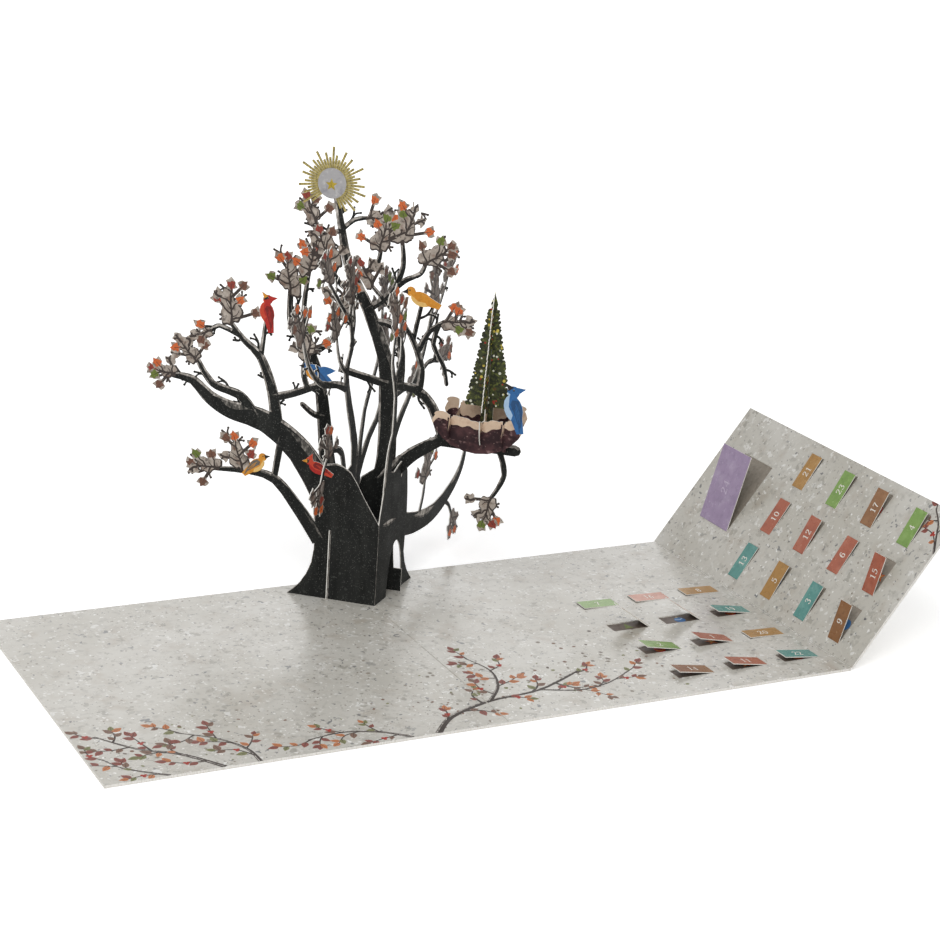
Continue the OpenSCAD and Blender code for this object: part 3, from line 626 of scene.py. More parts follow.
def solid(name, face, corners, triangles, inks, body, high, low):
    """A thin closed solid over flat triangles, between two levels, with inks for its faces and its sides."""
    corners, triangles = merged(corners, triangles)
    used = sorted({i for t in triangles for i in t})
    index = {v: k for k, v in enumerate(used)}
    n = len(used)
    vertices = [face.point(*corners[v], high) for v in used] + [face.point(*corners[v], low) for v in used]
    edges = {(t[k], t[(k + 1) % 3]) for t in triangles for k in range(3)}
    polygons = []
    for t in triangles:
        a, b, c = (index[i] for i in t)
        polygons += [(a, b, c), (c + n, b + n, a + n)]
    flats = len(polygons)
    for a, b in sorted(edges):
        if (b, a) not in edges:
            polygons.append((index[b], index[a], index[a] + n, index[b] + n))
    if face.along.cross(face.up).dot(face.out) < 0:
        polygons = [p[::-1] for p in polygons]
    mesh = bpy.data.meshes.new(name)
    mesh.from_pydata(vertices, [], polygons)
    mesh.materials.append(INKS[inks[0]])
    if inks[1] != inks[0]:
        mesh.materials.append(INKS[inks[1]])
        for polygon in mesh.polygons[flats:]:
            polygon.material_index = 1
    thing = bpy.data.objects.new(name, mesh)
    bpy.context.scene.collection.objects.link(thing)
    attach(thing, body)
    return thing


def coat(node, faces, edge="edge"):
    """Gives a node's flat faces their inks, and all its other sides the cut edge."""
    mesh = nodes[node].data
    mesh.materials.clear()
    names = [edge] + sorted({ink for _, ink in faces})
    for ink in names:
        mesh.materials.append(INKS[ink])
    for polygon in mesh.polygons:
        polygon.material_index = 0
        for face, ink in faces:
            if face.holds(polygon) or face.leans_to(polygon):
                polygon.material_index = names.index(ink)


# Tree

def wobble(s, k):
    return math.sin(math.radians(97 * k + 31 * s[0] + 17 * s[1]))


def spray_twigs(s):
    """The stem and side twigs of a spray, as start, angle and length in the spray's own place."""
    twigs = [(0.0, 0.0, s[3])]
    for k in range(s[4] - 1):
        angle = (1 if k % 2 == 0 else -1) * (60 - 5 * k + 14 * wobble(s, k + 1))
        twigs.append((s[3] * (0.12 + 0.74 * k / (s[4] - 1)), angle,
                      s[3] * (0.54 - 0.06 * k + 0.12 * wobble(s, k + 4))))
    return twigs


LOBES = [(0, 0.6), (20, 0.45), (46, 0.52), (74, 0.37), (102, 0.42), (130, 0.3), (155, 0.27)]


def lobed(l, s, k):
    """Lobed leaf from the origin along +X, with uneven tips."""
    upper = [(a, r * l * (1 + 0.2 * wobble(s, 7 * k + i))) for i, (a, r) in enumerate(LOBES)]
    lower = [(-a, r * l * (1 + 0.2 * wobble(s, 7 * k + i + 40))) for i, (a, r) in enumerate(LOBES)]
    ring = upper + [(180, 0.42 * l)] + lower[:0:-1]
    return [(0.42 * l + r * math.cos(math.radians(a)), r * math.sin(math.radians(a))) for a, r in ring]


def antler(length, s, k):
    """Forked twig from the origin along +X, with round tips."""
    bend = 0.2 * length * wobble(s, k)
    main = curve([(0, 0), (0.5 * length, bend), (length, 0.4 * bend)], 4)
    side = 1 if wobble(s, k + 5) > 0 else -1
    x, y = main[4]
    tip = (x + 0.34 * length, y + side * 0.36 * length)
    fork = curve([(x, y), (x + 0.22 * length, y + side * 0.12 * length), tip], 3)
    tips = [oval(*main[-1], 1.2, 1.0, 10), oval(*tip, 1.05, 0.95, 10)]
    return band(main, 2.3, 1.5) + band(fork, 1.7, 1.3) + tips


def on_spray(s, polygons, start=0.0, angle=0.0):
    """Polygons on a twig of a spray that starts along its stem and turns away by an angle."""
    return moved(moved(polygons, start, 0, angle), s[0], s[1], s[2], flip_y=s[2] > 90)


def spray_card(s):
    """Fine cut outline of a spray: a lobed patch, leaves and forked twigs."""
    ring = []
    for k in range(48):
        t = 7.5 * k
        wave = 1.06 + 0.22 * math.cos(math.radians(3 * t + 90 * wobble(s, 0))) \
            + 0.12 * math.cos(math.radians(2 * t + 60)) + 0.07 * math.sin(math.radians(9 * t + 50 * s[1]))
        ring.append((0.42 * s[3] * wave * math.cos(math.radians(t)),
                     0.28 * s[3] * wave * math.sin(math.radians(t))))
    patch = on_spray(s, moved([ring], 0.42 * s[3], 0.1 * s[3] * wobble(s, 9)))
    leaves = []
    for k, (start, angle, length) in enumerate(spray_twigs(s)):
        blade = moved([lobed(1.25 * LEAF_L, s, k)], length - LEAF_L / 3 - 0.8, 0)
        leaves += on_spray(s, blade, start, angle)
    twigs = []
    for k in range(5):
        start = s[3] * (0.12 + 0.19 * k)
        angle = (-1 if k % 2 == 0 else 1) * (52 + 18 * wobble(s, k + 12))
        twigs += on_spray(s, antler(s[3] * (0.42 + 0.1 * wobble(s, k + 17)), s, k + 20), start, angle)
    return patch, leaves, twigs


GROWN = ["leaf_orange"] * 7 + ["leaf_red"] * 3 + ["leaf_olive"] * 4 + ["leaf_brown"] * 4 + ["twig"] * 8


def spray_shapes(s, rand, patch):
    """Print of one spray: a pale patch with a dark edge, dark twigs and some coloured leaves."""
    rings, leaves, forks = spray_card(s)
    twigs = spray_twigs(s)
    shapes = [("twig", forks)]
    for start, angle, length in twigs:
        strip = [[(0, -1.7), (length, -1.7), (length, 1.7), (0, 1.7)]]
        shapes.append(("twig", on_spray(s, strip, start, angle)))
    # The pale inside is shrunk and shifted up and left, so the dark ring shows broader on the lower right, away
    # from the light: a printed outline that is partly painted shade
    shapes.append(("twig", rings))
    middle = sum((Vector(q) for q in rings[0]), Vector((0, 0))) / len(rings[0])
    inner = [tuple(middle + 0.9 * (Vector(q) - middle) + Vector((-0.4, 0.4))) for q in rings[0]]
    shapes.append((patch, [inner]))
    for k, ((start, angle, length), ring) in enumerate(zip(twigs, leaves)):
        shapes.append((patch, [ring]))
        line = [(i / 4 * (length - 1), 0.7 * math.sin(1.7 * i + start)) for i in range(5)]
        shapes.append(("twig", on_spray(s, band(line, 2.2 if angle == 0 else 1.7, 1.0), start, angle)))
        ink = rand.choice(GROWN)
        if ink == "twig":
            fork = antler(0.8 * LEAF_L, s, k + 50)
            shapes.append((ink, on_spray(s, moved(fork, length - 2, 0), start, angle)))
        else:
            blade = moved([lobed(0.95 * LEAF_L, s, k + 3)], length - LEAF_L / 3 + 0.4, 0.3)
            shapes.append((ink, on_spray(s, blade, start, angle)))
            rib = [[(length - 3, -0.3), (length + 3, -0.15), (length + 3, 0.15), (length - 3, 0.3)]]
            shapes.append(("twig", on_spray(s, rib, start, angle)))
    for k in range(3):
        line = [(0, 0), (0.16 * s[3], 0.05 * s[3] * wobble(s, k + 60)), (0.3 * s[3], 0)]
        vein = band(curve(line, 3), 0.9, 0.5)
        angle = (1 if k % 2 == 0 else -1) * (38 + 12 * wobble(s, k + 64))
        shapes.append(("twig", on_spray(s, vein, s[3] * (0.2 + 0.2 * k), angle)))
    return shapes


def outline_strips(node, face, lit, width):
    """Strips along the edges of a node's face that look towards a direction, of a width that varies; towards the
    light they make a painted highlight.
    """
    mesh = nodes[node].data
    edges = {}
    for p in mesh.polygons:
        if face.holds(p):
            ring = [tuple(round(c, 3) for c in face.flat(mesh.vertices[i].co)) for i in p.vertices]
            if area(ring) < 0:
                ring = ring[::-1]
            for a, b in zip(ring, ring[1:] + ring[:1]):
                edges[(a, b)] = True
    strips = []
    for a, b in edges:
        if (b, a) in edges:
            continue
        d = Vector(b) - Vector(a)
        if d.length < 0.05:
            continue
        d.normalize()
        inward = Vector((-d.y, d.x))
        turned = -inward.dot(lit)
        w0, w1 = (width(q) * max(0.0, min(1.0, 0.45 + turned)) for q in (a, b))
        if max(w0, w1) > 0.12:
            strips.append([a, b, tuple(Vector(b) + inward * max(w1, 0.05)),
                           tuple(Vector(a) + inward * max(w0, 0.05))])
    return strips


def strip_width(q):
    """Width of the pale strip at a place on a sheet: narrow on the trunk, wider and uneven on the limbs."""
    rise = max(0.0, min(1.0, (q[1] - 70) / 60))
    slow, quick = math.sin(0.11 * q[0] + 0.07 * q[1]), math.sin(0.31 * q[1] - 0.23 * q[0])
    return 0.45 + rise * (1.1 + 0.7 * slow + 0.5 * quick)


def limb_light(limb, share=0.42):
    """Streaks of light along the upper side of a limb, narrowing to nothing at their ends."""
    w0, w1, points = limb
    line = curve(points, 6)
    side = -1 if line[0][0] > line[-1][0] else 1
    m = len(line) - 1
    edge, wide = [], []
    for i, q in enumerate(line):
        d = (Vector(line[min(i + 1, m)]) - Vector(line[max(i - 1, 0)])).normalized()
        w = w0 + (w1 - w0) * i / m
        edge.append(tuple(Vector(q) + side * Vector((-d.y, d.x)) * (0.5 - share / 2) * w))
        glint = max(0.0, math.sin(0.5 * i + w0 + points[0][0])) * max(0.0, math.sin(math.pi * i / m)) ** 0.6
        wide.append(max(0.1, w * share * glint))
    return [piece for i in range(m) if wide[i] + wide[i + 1] > 0.5
            for piece in band(edge[i:i + 2], wide[i], wide[i + 1])]


def limb_antlers(limb, number, crossings):
    """Forked twigs along the thin upper part of a limb, on alternate sides, clear of the sheets that cross."""
    w0, w1, points = limb
    line = curve(points, 5)
    m = len(line) - 1
    twigs = []
    for k, i in enumerate(range(3, m, 4)):
        x, y = line[i]
        w = w0 + (w1 - w0) * i / m
        if w > 10 or y < 155 or x > 15 and y < 185:
            continue
        d = Vector(line[i + 1]) - Vector(line[i])
        side = 1 if (k + number) % 2 else -1
        turn = math.degrees(math.atan2(d.y, d.x)) + side * (46 + 16 * wobble((x, y), k))
        twig = moved(antler(11 + 4 * wobble((x, y), k + 2), (x, y), k), x, y, turn)
        if all(len({math.copysign(1, p[0] - u) for ring in twig for p in ring}) == 1
               and min(abs(p[0] - u) for ring in twig for p in ring) > 3.5 for u in crossings):
            twigs += twig
    return twigs


def sides(triangle):
    return [frozenset((triangle[k], triangle[k - 1])) for k in range(3)]


def joined(group, card):
    """The triangles of a group that hang together with the card's triangles."""
    around = {}
    for k, triangle in enumerate(group):
        for side in sides(triangle):
            around.setdefault(side, []).append(k)
    front = {k for triangle in card for side in sides(triangle) for k in around.get(side, [])}
    held = set()
    while front:
        held |= front
        front = {n for k in front for side in sides(group[k]) for n in around[side]} - held
    return [group[k] for k in sorted(held)]


def gate(u, half):
    """Upright strip round a place where another sheet crosses."""
    return [(u - half, 0), (u + half, 0), (u + half, SHEET_TOP), (u - half, SHEET_TOP)]


def rings_of(corners, triangles):
    return [[tuple(corners[i]) for i in t] for t in triangles]


def grow(name, node, face, fine, gates, inks):
    """Adds the fine edge of the cut card, just outside the node's outline, and gives its triangles."""
    corners, triangles = divide([("fine", fine), ("gate", gates), ("card", cut_card(node, face))])
    group = joined([t for t, found in triangles if found and set(found) == {"fine"}],
                   [t for t, found in triangles if "card" in found])
    solid(name, face, corners, group, inks, "card", 0.0, -CARD_T)
    return rings_of(corners, group)


def tree_sheet(node, stand, name, limbs, sprays, crossings, lit, patch, seed, bright=()):
    """Prints one upright sheet of the tree on both sides, with its fine edges."""
    fine = [piece for w0, w1, points in limbs for piece in band(curve(points, 6), w0 + FINE_EDGE, w1 + FINE_EDGE)]
    for number, limb in enumerate(limbs):
        fine += limb_antlers(limb, number, crossings + [0])
    for s in sprays:
        fine += [ring for rings in spray_card(s) for ring in rings]
    gates = [gate(u, TREE_GATE) for u in crossings]
    more = grow(name + "_edge", node, stand.front(), fine, gates, ("black", "edge"))
    for side, face in stand.faces().items():
        rand = random.Random(seed)
        shapes = [("glint", [piece for limb in limbs if limb[0] >= 5 for piece in limb_light(limb)])]
        shapes += [("pale", limb_light(limbs[i], 0.3)) for i in bright]
        # Pale strips on the edges that face the light: partly the sheet's pale print, partly painted highlight
        shapes.append(("pale", outline_strips(node, face, Vector(lit), strip_width)))
        for s in sprays:
            shapes += spray_shapes(s, rand, patch)
        lay(name + "_" + side, node, face, shapes, "card", more)


coat("tree_front_sheet", [(LEFT.front(), "black"), (LEFT.rear(), "black"), (RIGHT.front(), "black"),
                          (RIGHT.rear(), "black")])
coat("tree_nest_sheet", [(NEST.front(), "black"), (NEST.rear(), "black")])
coat("tree_forward_sheet", [(FORWARD.front(), "black"), (FORWARD.rear(), "black")])
tree_sheet("tree_front_sheet", LEFT, "tree_left", LEFT_LIMBS, LEFT_SPRAYS, [-SHEET_S], (-0.5, 0.87), "patch", 3)
tree_sheet("tree_front_sheet", RIGHT, "tree_right", RIGHT_LIMBS, RIGHT_SPRAYS, [SHEET_S], (-0.5, 0.87), "shade",
           5, (0, 1))
tree_sheet("tree_nest_sheet", NEST, "tree_nest", NEST_LIMBS, NEST_SPRAYS, [0, -SHEET_S], (-0.6, 0.8), "patch",
           8, (5,))
tree_sheet("tree_forward_sheet", FORWARD, "tree_forward", FORWARD_LIMBS, FORWARD_SPRAYS, [0, SHEET_S],
           (-0.6, 0.8), "shade", 13)


# Nest and fir

def rim_height(x, r, h, sag):
    """Height of a nest sheet's rim at a distance from its middle, with its ends rounded off."""
    t = (1 - x / r) / 2
    sagged = h - sag * math.sin(math.pi * t) + 0.8 * math.cos(6 * math.pi * t)
    round_end = h / 2 + (h / 2 + 3.5) * max(0.0, 1 - abs(x / (r - 1.5)) ** 2.6) ** (1 / 2.6)
    return min(sagged, round_end)


def nest_rim(r, h, sag, drop, seed):
    """Cream band under the rim of a nest sheet, with an uneven lower edge."""
    def low(k):
        return drop * (1 + 0.26 * math.sin(0.5 * k + seed) + 0.14 * math.sin(1.3 * k + seed))

    line = [(x, rim_height(x, r, h, sag)) for x in (r * (k / 20 - 1) for k in range(41))]
    return [[(a[0], a[1] - low(k)), (b[0], b[1] - low(k + 1)), (b[0], b[1] + 6), (a[0], a[1] + 6)]
            for k, (a, b) in enumerate(zip(line, line[1:]))]


def nest_sheet(node, stand, middle, r, h, sag, drop, slots):
    """A nest sheet with rounded ends and a lumpy rim, which stands for its node, with its print."""
    face = stand.front()
    rim = [(x, rim_height(x, r, h, sag)) for x in (r * (k / 20 - 1) for k in range(41))]
    kept = moved([[(-r, -2), (r, -2)] + rim[::-1]], middle, NEST_FOOT)
    lumps = []
    for k in range(5, 36, 2):
        x, y = rim[k]
        tall = 2.3 + 0.5 * wobble((r, h), k)
        lumps.append(oval(middle + x, NEST_FOOT + y - 0.9, 5.0 + 0.8 * wobble((r, h), k + 3), tall, 20))
    gates = [gate(u, NEST_GATE) for u in slots]
    card = cut_card(node, face)
    corners, triangles = divide([("card", card), ("gate", gates), ("kept", kept), ("lump", lumps)])
    group = [t for t, found in triangles
             if {"card", "kept"} <= set(found) or "lump" in found and "gate" not in found]
    thing = solid(node + "_bowl", face, corners, group, ("nest", "edge"), "card", 0.0, -CARD_T)
    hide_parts(node)
    more = rings_of(corners, group)
    for side, face in stand.faces().items():
        print_rim = moved(nest_rim(r, h, sag, drop, 2 if side == "front" else 5), middle, NEST_FOOT)
        lay(node + "_" + side, None, face, [("cream", print_rim)], "card", more)


NEST_CROSS_U = 22
NEST_CROSS_R = 23
front_stand = NEST.move(0, -NEST_D)
rear_stand = NEST.move(0, NEST_D)
slots = [NEST_U - NEST_CROSS_U + CARD_T / 2, FIR_U, NEST_U + NEST_CROSS_U]
nest_sheet("nest_front", front_stand, NEST_U, NEST_R, NEST_H, 8, 5.4, slots)
nest_sheet("nest_rear", rear_stand, NEST_U, NEST_R - 3, NEST_H + 4, 8, 9, slots)
for name, side in (("nest_cross_left", -1), ("nest_cross_right", 1)):
    stand = NEST.move(NEST_U + NEST_CROSS_U * side, 0, 90)
    coat(name, [(stand.front(), "nest"), (stand.rear(), "nest")], "nest")
    for turned, face in stand.faces().items():
        rim = moved(nest_rim(NEST_CROSS_R, NEST_H - 4, 5, 6, 3), 0, NEST_FOOT)
        lay(name + "_" + turned, name, face, [("cream", rim)], "card")


def fir_half(z):
    return FIR_W / 2 * (1 - z / (1.05 * FIR_H))


for name, turn, seed in (("fir_long", 0, 21), ("fir_cross", 90, 34)):
    stand = NEST.move(FIR_U, 0, turn)
    coat(name, [(stand.front(), "fir"), (stand.rear(), "fir")])
    rand = random.Random(seed)
    needles = []
    for k in range(26):
        z = 2 + 3.1 * k + rand.uniform(-0.8, 0.8)
        for sign in (-1, 1):
            r = rand.uniform(1.2, 2.2)
            needles.append(oval(sign * (fir_half(z) - 0.4), FIR_Z + z, r, 0.8 * r, 9, rand.uniform(0, 180)))
    more = grow(name + "_needles", name, stand.front(), needles, [], ("fir", "edge"))
    dots = []
    if turn:
        bowl = [(x, NEST_FOOT + rim_height(x, NEST_CROSS_R, NEST_H - 4, 5)) for x in range(-22, 23)]
        dots.append(("nest", [[(-23, NEST_FOOT - 2), (23, NEST_FOOT - 2)] + bowl[::-1]]))
        dots.append(("cream", moved(nest_rim(NEST_CROSS_R, NEST_H - 4, 5, 6, 4), 0, NEST_FOOT)))
        dots.append(("fir", [[(-15, FIR_Z - 1), (15, FIR_Z - 1), (10, FIR_Z + 30), (-10, FIR_Z + 30)]]))
    for k in range(58):
        z = FIR_H * rand.random() ** 1.25
        ink = rand.choice(["dot_red"] * 3 + ["dot_yellow"] * 3 + ["dot_white"] * 3)
        across = rand.uniform(-1, 1) * fir_half(z)
        dots.append((ink, [oval(across, FIR_Z + z, *(rand.uniform(0.7, 1.25),) * 2, 10)]))
    for side, face in stand.faces().items():
        lay(name + "_" + side, name, face, dots, "card", more)


# Topper

topper_stand = NEST.move(0, -CARD_T)
RAY_REACH = [27, 21, 24, 20, 29, 22, 19.5, 26, 21, 28, 20, 23, 29.5, 21, 25, 20, 28, 22, 24, 20, 29, 21, 26, 20,
             23, 28, 21, 25, 20, 29, 22, 19.5, 26, 21, 24, 29, 20, 23, 27, 21, 25, 20, 28, 22, 26, 20.5, 29, 23]
RAY_STEP = 7.5
RAY_FOOT = 9
BARE = (232, 290)
topper_middle = (TOPPER_AT[0], TOPPER_AT[1] - 2.6)


def on_ray(ring, angle):
    return moved([ring], *topper_middle, angle)


bars, stripes = [], []
for k, reach in enumerate(RAY_REACH):
    angle = RAY_STEP * k
    if BARE[0] < angle < BARE[1]:
        continue
    bars += on_ray([(RAY_FOOT, -0.85), (reach, -1.0), (reach, 1.0), (RAY_FOOT, 0.85)], angle)
    broad = [(RAY_FOOT, -1.4), (17.5 + 1.5 * wobble((k, 3), 1), -1.3), (17.5, 1.3), (RAY_FOOT, 1.4)]
    bars += on_ray(broad, angle)
    light = [(RAY_FOOT, -0.62), (reach, -0.8), (reach, 0.8), (RAY_FOOT, 0.62)]
    dark = [(RAY_FOOT, -0.85), (reach, -1.0), (reach, -0.62), (RAY_FOOT, -0.45)]
    stripes += [("gold", on_ray(light, angle)), ("gold_dark", on_ray(dark, angle))]
    for n in range(5):
        at = 12.5 + 3.6 * n + 1.2 * wobble((k, n), 2)
        if at + 1.4 < reach:
            fleck = [(at, -0.2), (at + 1.3, -0.3), (at + 1.3, 0.5), (at, 0.4)]
            stripes.append(("gold_dark", on_ray(fleck, angle)))
disc = [oval(*topper_middle, 11.8, 12.4, 40)]
corners, triangles = divide([("rays", bars + disc)])
group = [t for t, found in triangles if found]
topper_face = topper_stand.front()
thing = solid("topper_rays", topper_face, corners, group, ("gold_pale", "edge"), "card", 0.0,
              -CARD_T)
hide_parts("topper")
more = rings_of(corners, group)
badge = moved([star(5.2, 2.3)], topper_middle[0] - 0.4, topper_middle[1] - 1.2)
lay("topper_front", None, topper_face, stripes + [("silver", disc), ("star", badge)], "card", more)
lay("topper_rear", None, topper_stand.rear(), stripes + [("gold", disc)], "card", more)


# Birds

BIRD_L = 30


def on_bird(b, polygons):
    return moved(polygons, b[0], b[1], b[2], b[3] / BIRD_L, flip_x=b[4])


def bird_print(node, stand, b, colours):
    """Prints a bird's wing, belly, beak and eye on its front, and its body colour on both sides."""
    body, wing, belly, beak, mask = colours
    coat(node, [(face, body) for face in stand.faces().values()])

    def at(*polygons):
        return on_bird(b, polygons)

    shapes = [(belly, at([(12, 4.2), (10.5, 0), (6, -4.5), (0, -7.5), (-5, -6.5), (-3, -3.2), (3, -1.5),
                          (7, 2.5), (9, 5)]))]
    shapes.append((wing, at([(5, 3.4), (2, 6.2), (-4, 4.6), (-9, 0.2), (-13.5, -5.2), (-9, -4.4), (-2, -1.6),
                             (3.6, 0.4)])))
    for k in range(3):
        feather = band([(1.5 - 1.6 * k, 3.4 - 1.4 * k), (-4, 1.4 - 1.2 * k), (-10, -2.8 - 0.6 * k)], 0.5, 0.3)
        shapes.append((body, at(*feather)))
    shapes.append((wing, at(*band([(-8, -2.2), (-15, -7.5)], 1.0, 0.8))))
    if mask:
        shapes.append((mask, at(oval(11.2, 7.2, 2.0, 2.4, 12))))
    shapes.append((beak, at([(10.8, 10), (17, 7.5), (11.2, 5.4)])))
    shapes.append(("ink", at(oval(9.4, 8.6, 0.75, 0.75, 10))))
    # A tiny white dot in the eye: a painted highlight
    shapes.append(("white", at(oval(9.7, 8.9, 0.22, 0.22, 8))))
    return shapes


for node, stand, bird, colours, slot in (
        ("bird_cardinal", LEFT, CARDINAL, ("red", "red_dark", "orange_red", "amber", "ink"), "red_print"),
        ("bird_orange", LEFT, ORANGE_BIRD, ("amber", "grey_wing", "amber_pale", "ink", None), "yellow_print"),
        ("bird_red", LEFT, RED_BIRD, ("orange_red", "red_dark", "red", "amber", "ink"), "red_print"),
        ("bird_blue", LEFT, BLUE_BIRD, ("blue", "blue_dark", "amber", "ink", None), "blue_print"),
        ("bird_yellow", NEST, YELLOW_BIRD, ("amber", "amber", "amber_pale", "ink", None), "yellow_print"),
        ("bird_jay", front_stand, JAY, ("blue", "blue_dark", "blue_pale", "ink", None), "blue_print")):
    place = stand.move(0, -CARD_T)
    shapes = bird_print(node, place, bird, colours)
    more = []
    if node == "bird_blue":
        tail = moved([leaf(21, 9)], -1, 4, 172) + moved([leaf(19, 9)], -1, 1, 198)
        plump = on_bird(bird, [oval(-0.5, 2.6, 10.8, 7.4, 24, 22)] + tail)
        more = grow(node + "_edge", node, place.front(), plump, [], (colours[0], "edge"))
    lay(node + "_front", node, place.front(), shapes, "card", more)


# Card, doors and what is printed on them

coat("base_sheet", [(CARD_FACE, "terrazzo")])
underside = Face((0, 0, 0), (1, 0, 0), (0, 1, 0), (0, 0, -1))
coat("base_board", [(tilted(0, 0, TOP - SHEET_T, 0), "board"), (underside, "board")])
coat("flap_sheet", [(FLAP_FACE, "terrazzo")])
x, z = on_flap(0, -TOP)
underside = Face((x, 0, z), FLAP_FACE.along, (0, 1, 0), -FLAP_FACE.out)
x, z = on_flap(0, -SHEET_T)
coat("flap_board", [(tilted(x, 0, z, FLAP_ANGLE), "board"), (underside, "board")])


def pen(points, thin=0.055, thick=0.15):
    """Stroke of a broad pen: thick where it runs up or down, thin where it runs across."""
    steps = [Vector(b) - Vector(a) for a, b in zip(points, points[1:])]
    widths = [thin + (thick - thin) * abs(d.y) / d.length for d in steps]
    strokes = [piece for a, b, w in zip(points, points[1:], widths) for piece in band([a, b], w, w)]
    return strokes + [oval(*q, w / 2, w / 2, 8) for q, w in zip(points[1:-1], widths[1:])]


def ring_pen(x, y, a, b):
    points = oval(x, y, a, b, 20)
    return pen(points + points[:1])


SIX = [(.52, .86), (.42, .98), (.28, .96), (.12, .72), (.07, .40), (.14, .08), (.31, 0), (.48, .08), (.54, .31),
       (.46, .54), (.31, .60), (.17, .52), (.09, .38)]
DIGITS = {
    "0": ring_pen(.31, .5, .25, .48),
    "1": pen([(.33, 1), (.33, .02)]) + pen([(.33, 1), (.13, .84)]) + pen([(.12, .02), (.54, .02)]),
    "2": pen(curve([(.08, .76), (.14, .92), (.31, 1), (.50, .90), (.52, .72), (.40, .48), (.20, .22),
                    (.07, .04)], 3))
    + pen([(.06, .05), (.56, .05)], 0.1) + pen([(.55, .03), (.58, .2)], 0.06, 0.08),
    "3": pen(curve([(.08, .80), (.16, .95), (.30, 1), (.47, .92), (.48, .74), (.38, .57), (.24, .53)], 3))
    + pen(curve([(.24, .53), (.42, .48), (.54, .32), (.48, .10), (.28, 0), (.12, .05), (.06, .18)], 3)),
    "4": pen([(.42, 1), (.05, .32)], 0.05, 0.07) + pen([(.03, .30), (.60, .30)], 0.08)
    + pen([(.43, 1), (.43, 0)]) + pen([(.28, .03), (.58, .03)]),
    "5": pen([(.14, .95), (.52, .95)], 0.1) + pen([(.14, .97), (.11, .55)], 0.06, 0.08)
    + pen(curve([(.11, .55), (.28, .64), (.48, .55), (.54, .34), (.46, .10), (.26, 0), (.10, .06),
                 (.06, .18)], 3)),
    "6": pen(curve(SIX, 3)),
    "7": pen([(.06, .94), (.56, .94)], 0.1) + pen(curve([(.54, .92), (.36, .55), (.24, 0)], 4))
    + pen([(.07, .96), (.05, .78)], 0.06, 0.08),
    "8": ring_pen(.31, .75, .19, .23) + ring_pen(.31, .26, .24, .26),
    "9": moved(pen(curve(SIX, 3)), .62, 1, 180),
}


def numeral(number, height):
    """Polygons of a number, centred on the origin."""
    step = 0.78 * height
    text = str(number)
    pieces = []
    for k, digit in enumerate(text):
        x = (k - len(text) / 2) * step + 0.08 * height
        pieces += moved(DIGITS[digit], x, -height / 2, 0, height)
    return pieces


def ornament(kind, size):
    """A simple printed ornament, centred on the origin."""
    ball = [oval(0, -0.1, 0.42, 0.42, 24)]
    cap = ("gold", [oval(0, 0.38, 0.1, 0.08, 12)])
    if kind == 0:
        stripe = band(curve([(-0.3, 0.1), (0, -0.05), (0.3, 0.1)]), 0.1, 0.1)
        shapes = [("blue", ball), ("blue_pale", stripe), cap]
    elif kind == 1:
        shapes = [("leaf_orange", [star(0.5, 0.22)]), ("amber_pale", [star(0.26, 0.11)])]
    elif kind == 2:
        stripe = band(curve([(-0.36, -0.2), (0, -0.3), (0.36, -0.2)]), 0.09, 0.09)
        shapes = [("red", ball), ("amber", stripe), cap]
    elif kind == 3:
        fir = [[(-0.36 + 0.1 * k, -0.3 + 0.22 * k), (0.36 - 0.1 * k, -0.3 + 0.22 * k), (0, 0.12 + 0.2 * k)]
               for k in range(3)]
        foot = [(-0.05, -0.45), (0.05, -0.45), (0.05, -0.3), (-0.05, -0.3)]
        shapes = [("leaf_olive", fir), ("leaf_brown", [foot])]
    else:
        berries = [oval(x, y, 0.09, 0.09, 12) for x, y in ((0, 0.1), (-0.1, -0.04), (0.1, -0.04))]
        shapes = [("leaf_red", moved([leaf(0.5, 0.34)], 0, 0, 20) + moved([leaf(0.5, 0.34)], 0, 0, 160)),
                  ("red", berries)]
    return [(ink, moved(rings, 0, 0, 0, size)) for ink, rings in shapes]


BEHIND = {9: 0, 5: 0, 15: 1, 4: 1, 19: 2, 22: 2}
for number in range(1, 26):
    name = f"door_{number}"
    leaf_face, board_face, length, width, board, body = door_faces(number)
    tone = DOOR_TONES[DOOR_TONE[number - 1]]
    under = Face(leaf_face.origin - leaf_face.out * (SHEET_T - 0.1), leaf_face.along, leaf_face.up,
                 -leaf_face.out)
    coat(name, [(leaf_face, tone), (under, "board")])
    text = ("lilac", numeral(number, 8.5)) if number == 24 else ("white", numeral(number, 6.2))
    lay(name + "_number", name, leaf_face, [text], name)
    field = [(sx * length / 2, sy * width / 2) for sx, sy in ((-1, -1), (1, -1), (1, 1), (-1, 1))]
    # The field behind the door is board print and painted shade under the open door, darkest behind the flat
    # card's doors
    picture = [("behind_painted_shade" if body == "card" else "behind", [field])]
    picture += ornament(BEHIND.get(number, number % 5), min(0.8 * width, 22))
    lay(name + "_picture", board, board_face, picture, body)


FALLEN = ["fallen_orange"] * 4 + ["fallen_red"] * 4 + ["fallen_brown"] * 3 + ["fallen_olive"] * 2


